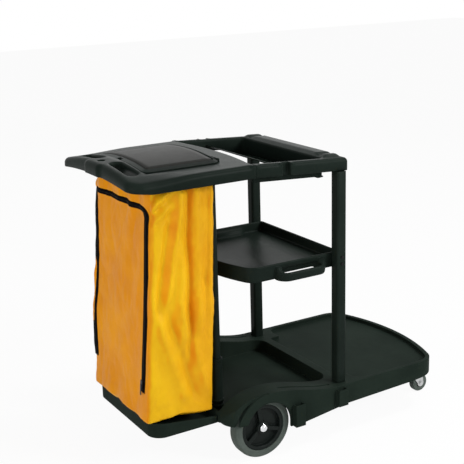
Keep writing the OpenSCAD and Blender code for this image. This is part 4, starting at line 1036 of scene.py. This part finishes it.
def buildZip():
    f = fastener
    line = zipLine()
    along = directions(line)
    across = np.stack([-along[:, 1], along[:, 0]], 1)
    verts, faces = [], []
    for p, n in zip(line, across):
        onLeg = smoothStep(*f["legTurn"], abs(n[0]))
        wide = f["width"] + (f["legWidth"] - f["width"]) * onLeg
        for share, lift in f["section"]:
            y, z = p + n * share * wide
            verts.append((rearCloth(y, z) - lift * f["thick"], y, z))
    loft(faces, 0, len(f["section"]), len(line))
    mesh = meshFrom("zipTapeShape", verts, faces)
    addPiece("zipTape", mesh, "cart", "zip_tape", finish="black_tape", slotName="black_tape")
    verts, faces = [], []
    for p, n, t in zip(line, across, along):
        base = len(verts)
        foot = rearCloth(*p)
        for lift, taper in ((1, 1), (2, f["toothTaper"])):
            for a, c in ((-1, -1), (1, -1), (1, 1), (-1, 1)):
                y, z = p + (t * a * f["toothL"] + n * c * f["toothW"]) / 2 * taper
                verts.append((foot - lift * f["thick"], y, z))
        loft(faces, base, 4, 2)
    mesh = meshFrom("zipTeethShape", verts, faces)
    addPiece("zipTeeth", mesh, "cart", finish="toothPlastic", slotName="black_tape")


buildZip()
softEdges("zip_slider", "zip_slider", 0.5 * mm, segments=2, finish="blackenedSteel", slotName="zinc_steel")
print("zip made")

# floor, light and camera
view = {"place": (-1.696, -2.673, 1.534), "yaw": -30.69, "pitch": 15.66, "roll": -1.59,
        "lens": 77.76, "sensor": 36.0, "farthest": 60}
ground = {"reach": 14.0, "grey": 0.86, "whiteShare": 0.94, "skyGlow": 0.36}
lamps = {
    "key": {"place": (1.7, -3.2, 2.2), "aim": (0, 0, 0.5), "size": 0.8, "power": 92},
    "fill": {"place": (-3.7, -1.4, 1.5), "aim": (0, 0, 0.5), "size": 1.8, "power": 50},
    "back": {"place": (2.3, 3.9, 2.5), "aim": (-0.2, 0, 0.8), "size": 2.2, "power": 14},
    "top": {"place": (1.9, -1.0, 3.9), "aim": (0, 0, 0.7), "size": 0.5, "power": 62},
}


def buildCamera():
    data = bpy.data.cameras.new("camera")
    data.lens = view["lens"]
    data.sensor_width = view["sensor"]
    data.clip_end = view["farthest"]
    camera = bpy.data.objects.new("camera", data)
    scene.collection.objects.link(camera)
    a, e, roll = (math.radians(view[k]) for k in ("yaw", "pitch", "roll"))
    back = Vector((math.sin(a) * math.cos(e), -math.cos(a) * math.cos(e), math.sin(e)))
    right = (-back).cross(Vector((0, 0, 1))).normalized()
    up = right.cross(-back)
    turned = math.cos(roll) * right + math.sin(roll) * up
    upright = -math.sin(roll) * right + math.cos(roll) * up
    pose = Matrix((turned, upright, back)).transposed().to_4x4()
    pose.translation = view["place"]
    camera.matrix_world = pose
    scene.camera = camera


def seenWhite(tree):
    # one where the camera, a reflection or a see-through ray looks
    rays = tree.nodes.new("ShaderNodeLightPath")
    source = rays.outputs["Is Camera Ray"]
    for name in ("Is Glossy Ray", "Is Transmission Ray"):
        source = mathNode(tree, "MAXIMUM", source, rays.outputs[name])
    return source


def mixInto(tree, outputKind, share, first, second):
    # the first shader, and the second one as far as the share says
    mix = tree.nodes.new("ShaderNodeMixShader")
    output = tree.nodes.new(outputKind)
    tree.links.new(share, mix.inputs["Fac"])
    tree.links.new(first.outputs[0], mix.inputs[1])
    tree.links.new(second.outputs[0], mix.inputs[2])
    tree.links.new(mix.outputs["Shader"], output.inputs["Surface"])


def buildFloor():
    reach, grey = ground["reach"], ground["grey"]
    mesh = bpy.data.meshes.new("floorShape")
    corners = [(x, y, 0) for x, y in ((-reach, -reach), (reach, -reach), (reach, reach), (-reach, reach))]
    mesh.from_pydata(corners, [], [(0, 1, 2, 3)])
    floor = bpy.data.objects.new("floor", mesh)
    scene.collection.objects.link(floor)
    material = bpy.data.materials.new("pale floor")
    material.use_nodes = True
    tree = material.node_tree
    tree.nodes.clear()
    matte = addNode(tree, "ShaderNodeBsdfDiffuse", Color=(grey, grey, grey, 1))
    white = addNode(tree, "ShaderNodeEmission", Color=(1, 1, 1, 1), Strength=1.0)
    share = mathNode(tree, "MULTIPLY", seenWhite(tree), ground["whiteShare"])
    mixInto(tree, "ShaderNodeOutputMaterial", share, matte, white)
    mesh.materials.append(material)


def buildSky():
    world = bpy.data.worlds.new("studio")
    scene.world = world
    world.use_nodes = True
    tree = world.node_tree
    tree.nodes.clear()
    soft = addNode(tree, "ShaderNodeBackground", Color=(1, 1, 1, 1), Strength=ground["skyGlow"])
    white = addNode(tree, "ShaderNodeBackground", Color=(1, 1, 1, 1), Strength=1.0)
    mixInto(tree, "ShaderNodeOutputWorld", seenWhite(tree), soft, white)


def buildLamps():
    for name, lamp in lamps.items():
        data = bpy.data.lights.new(name, "AREA")
        data.size = lamp["size"]
        data.energy = lamp["power"]
        light = bpy.data.objects.new(name, data)
        scene.collection.objects.link(light)
        light.location = lamp["place"]
        towards = Vector(lamp["aim"]) - Vector(lamp["place"])
        light.rotation_euler = towards.to_track_quat("-Z", "Y").to_euler()


buildCamera()
buildFloor()
buildSky()
buildLamps()
print("stage made")
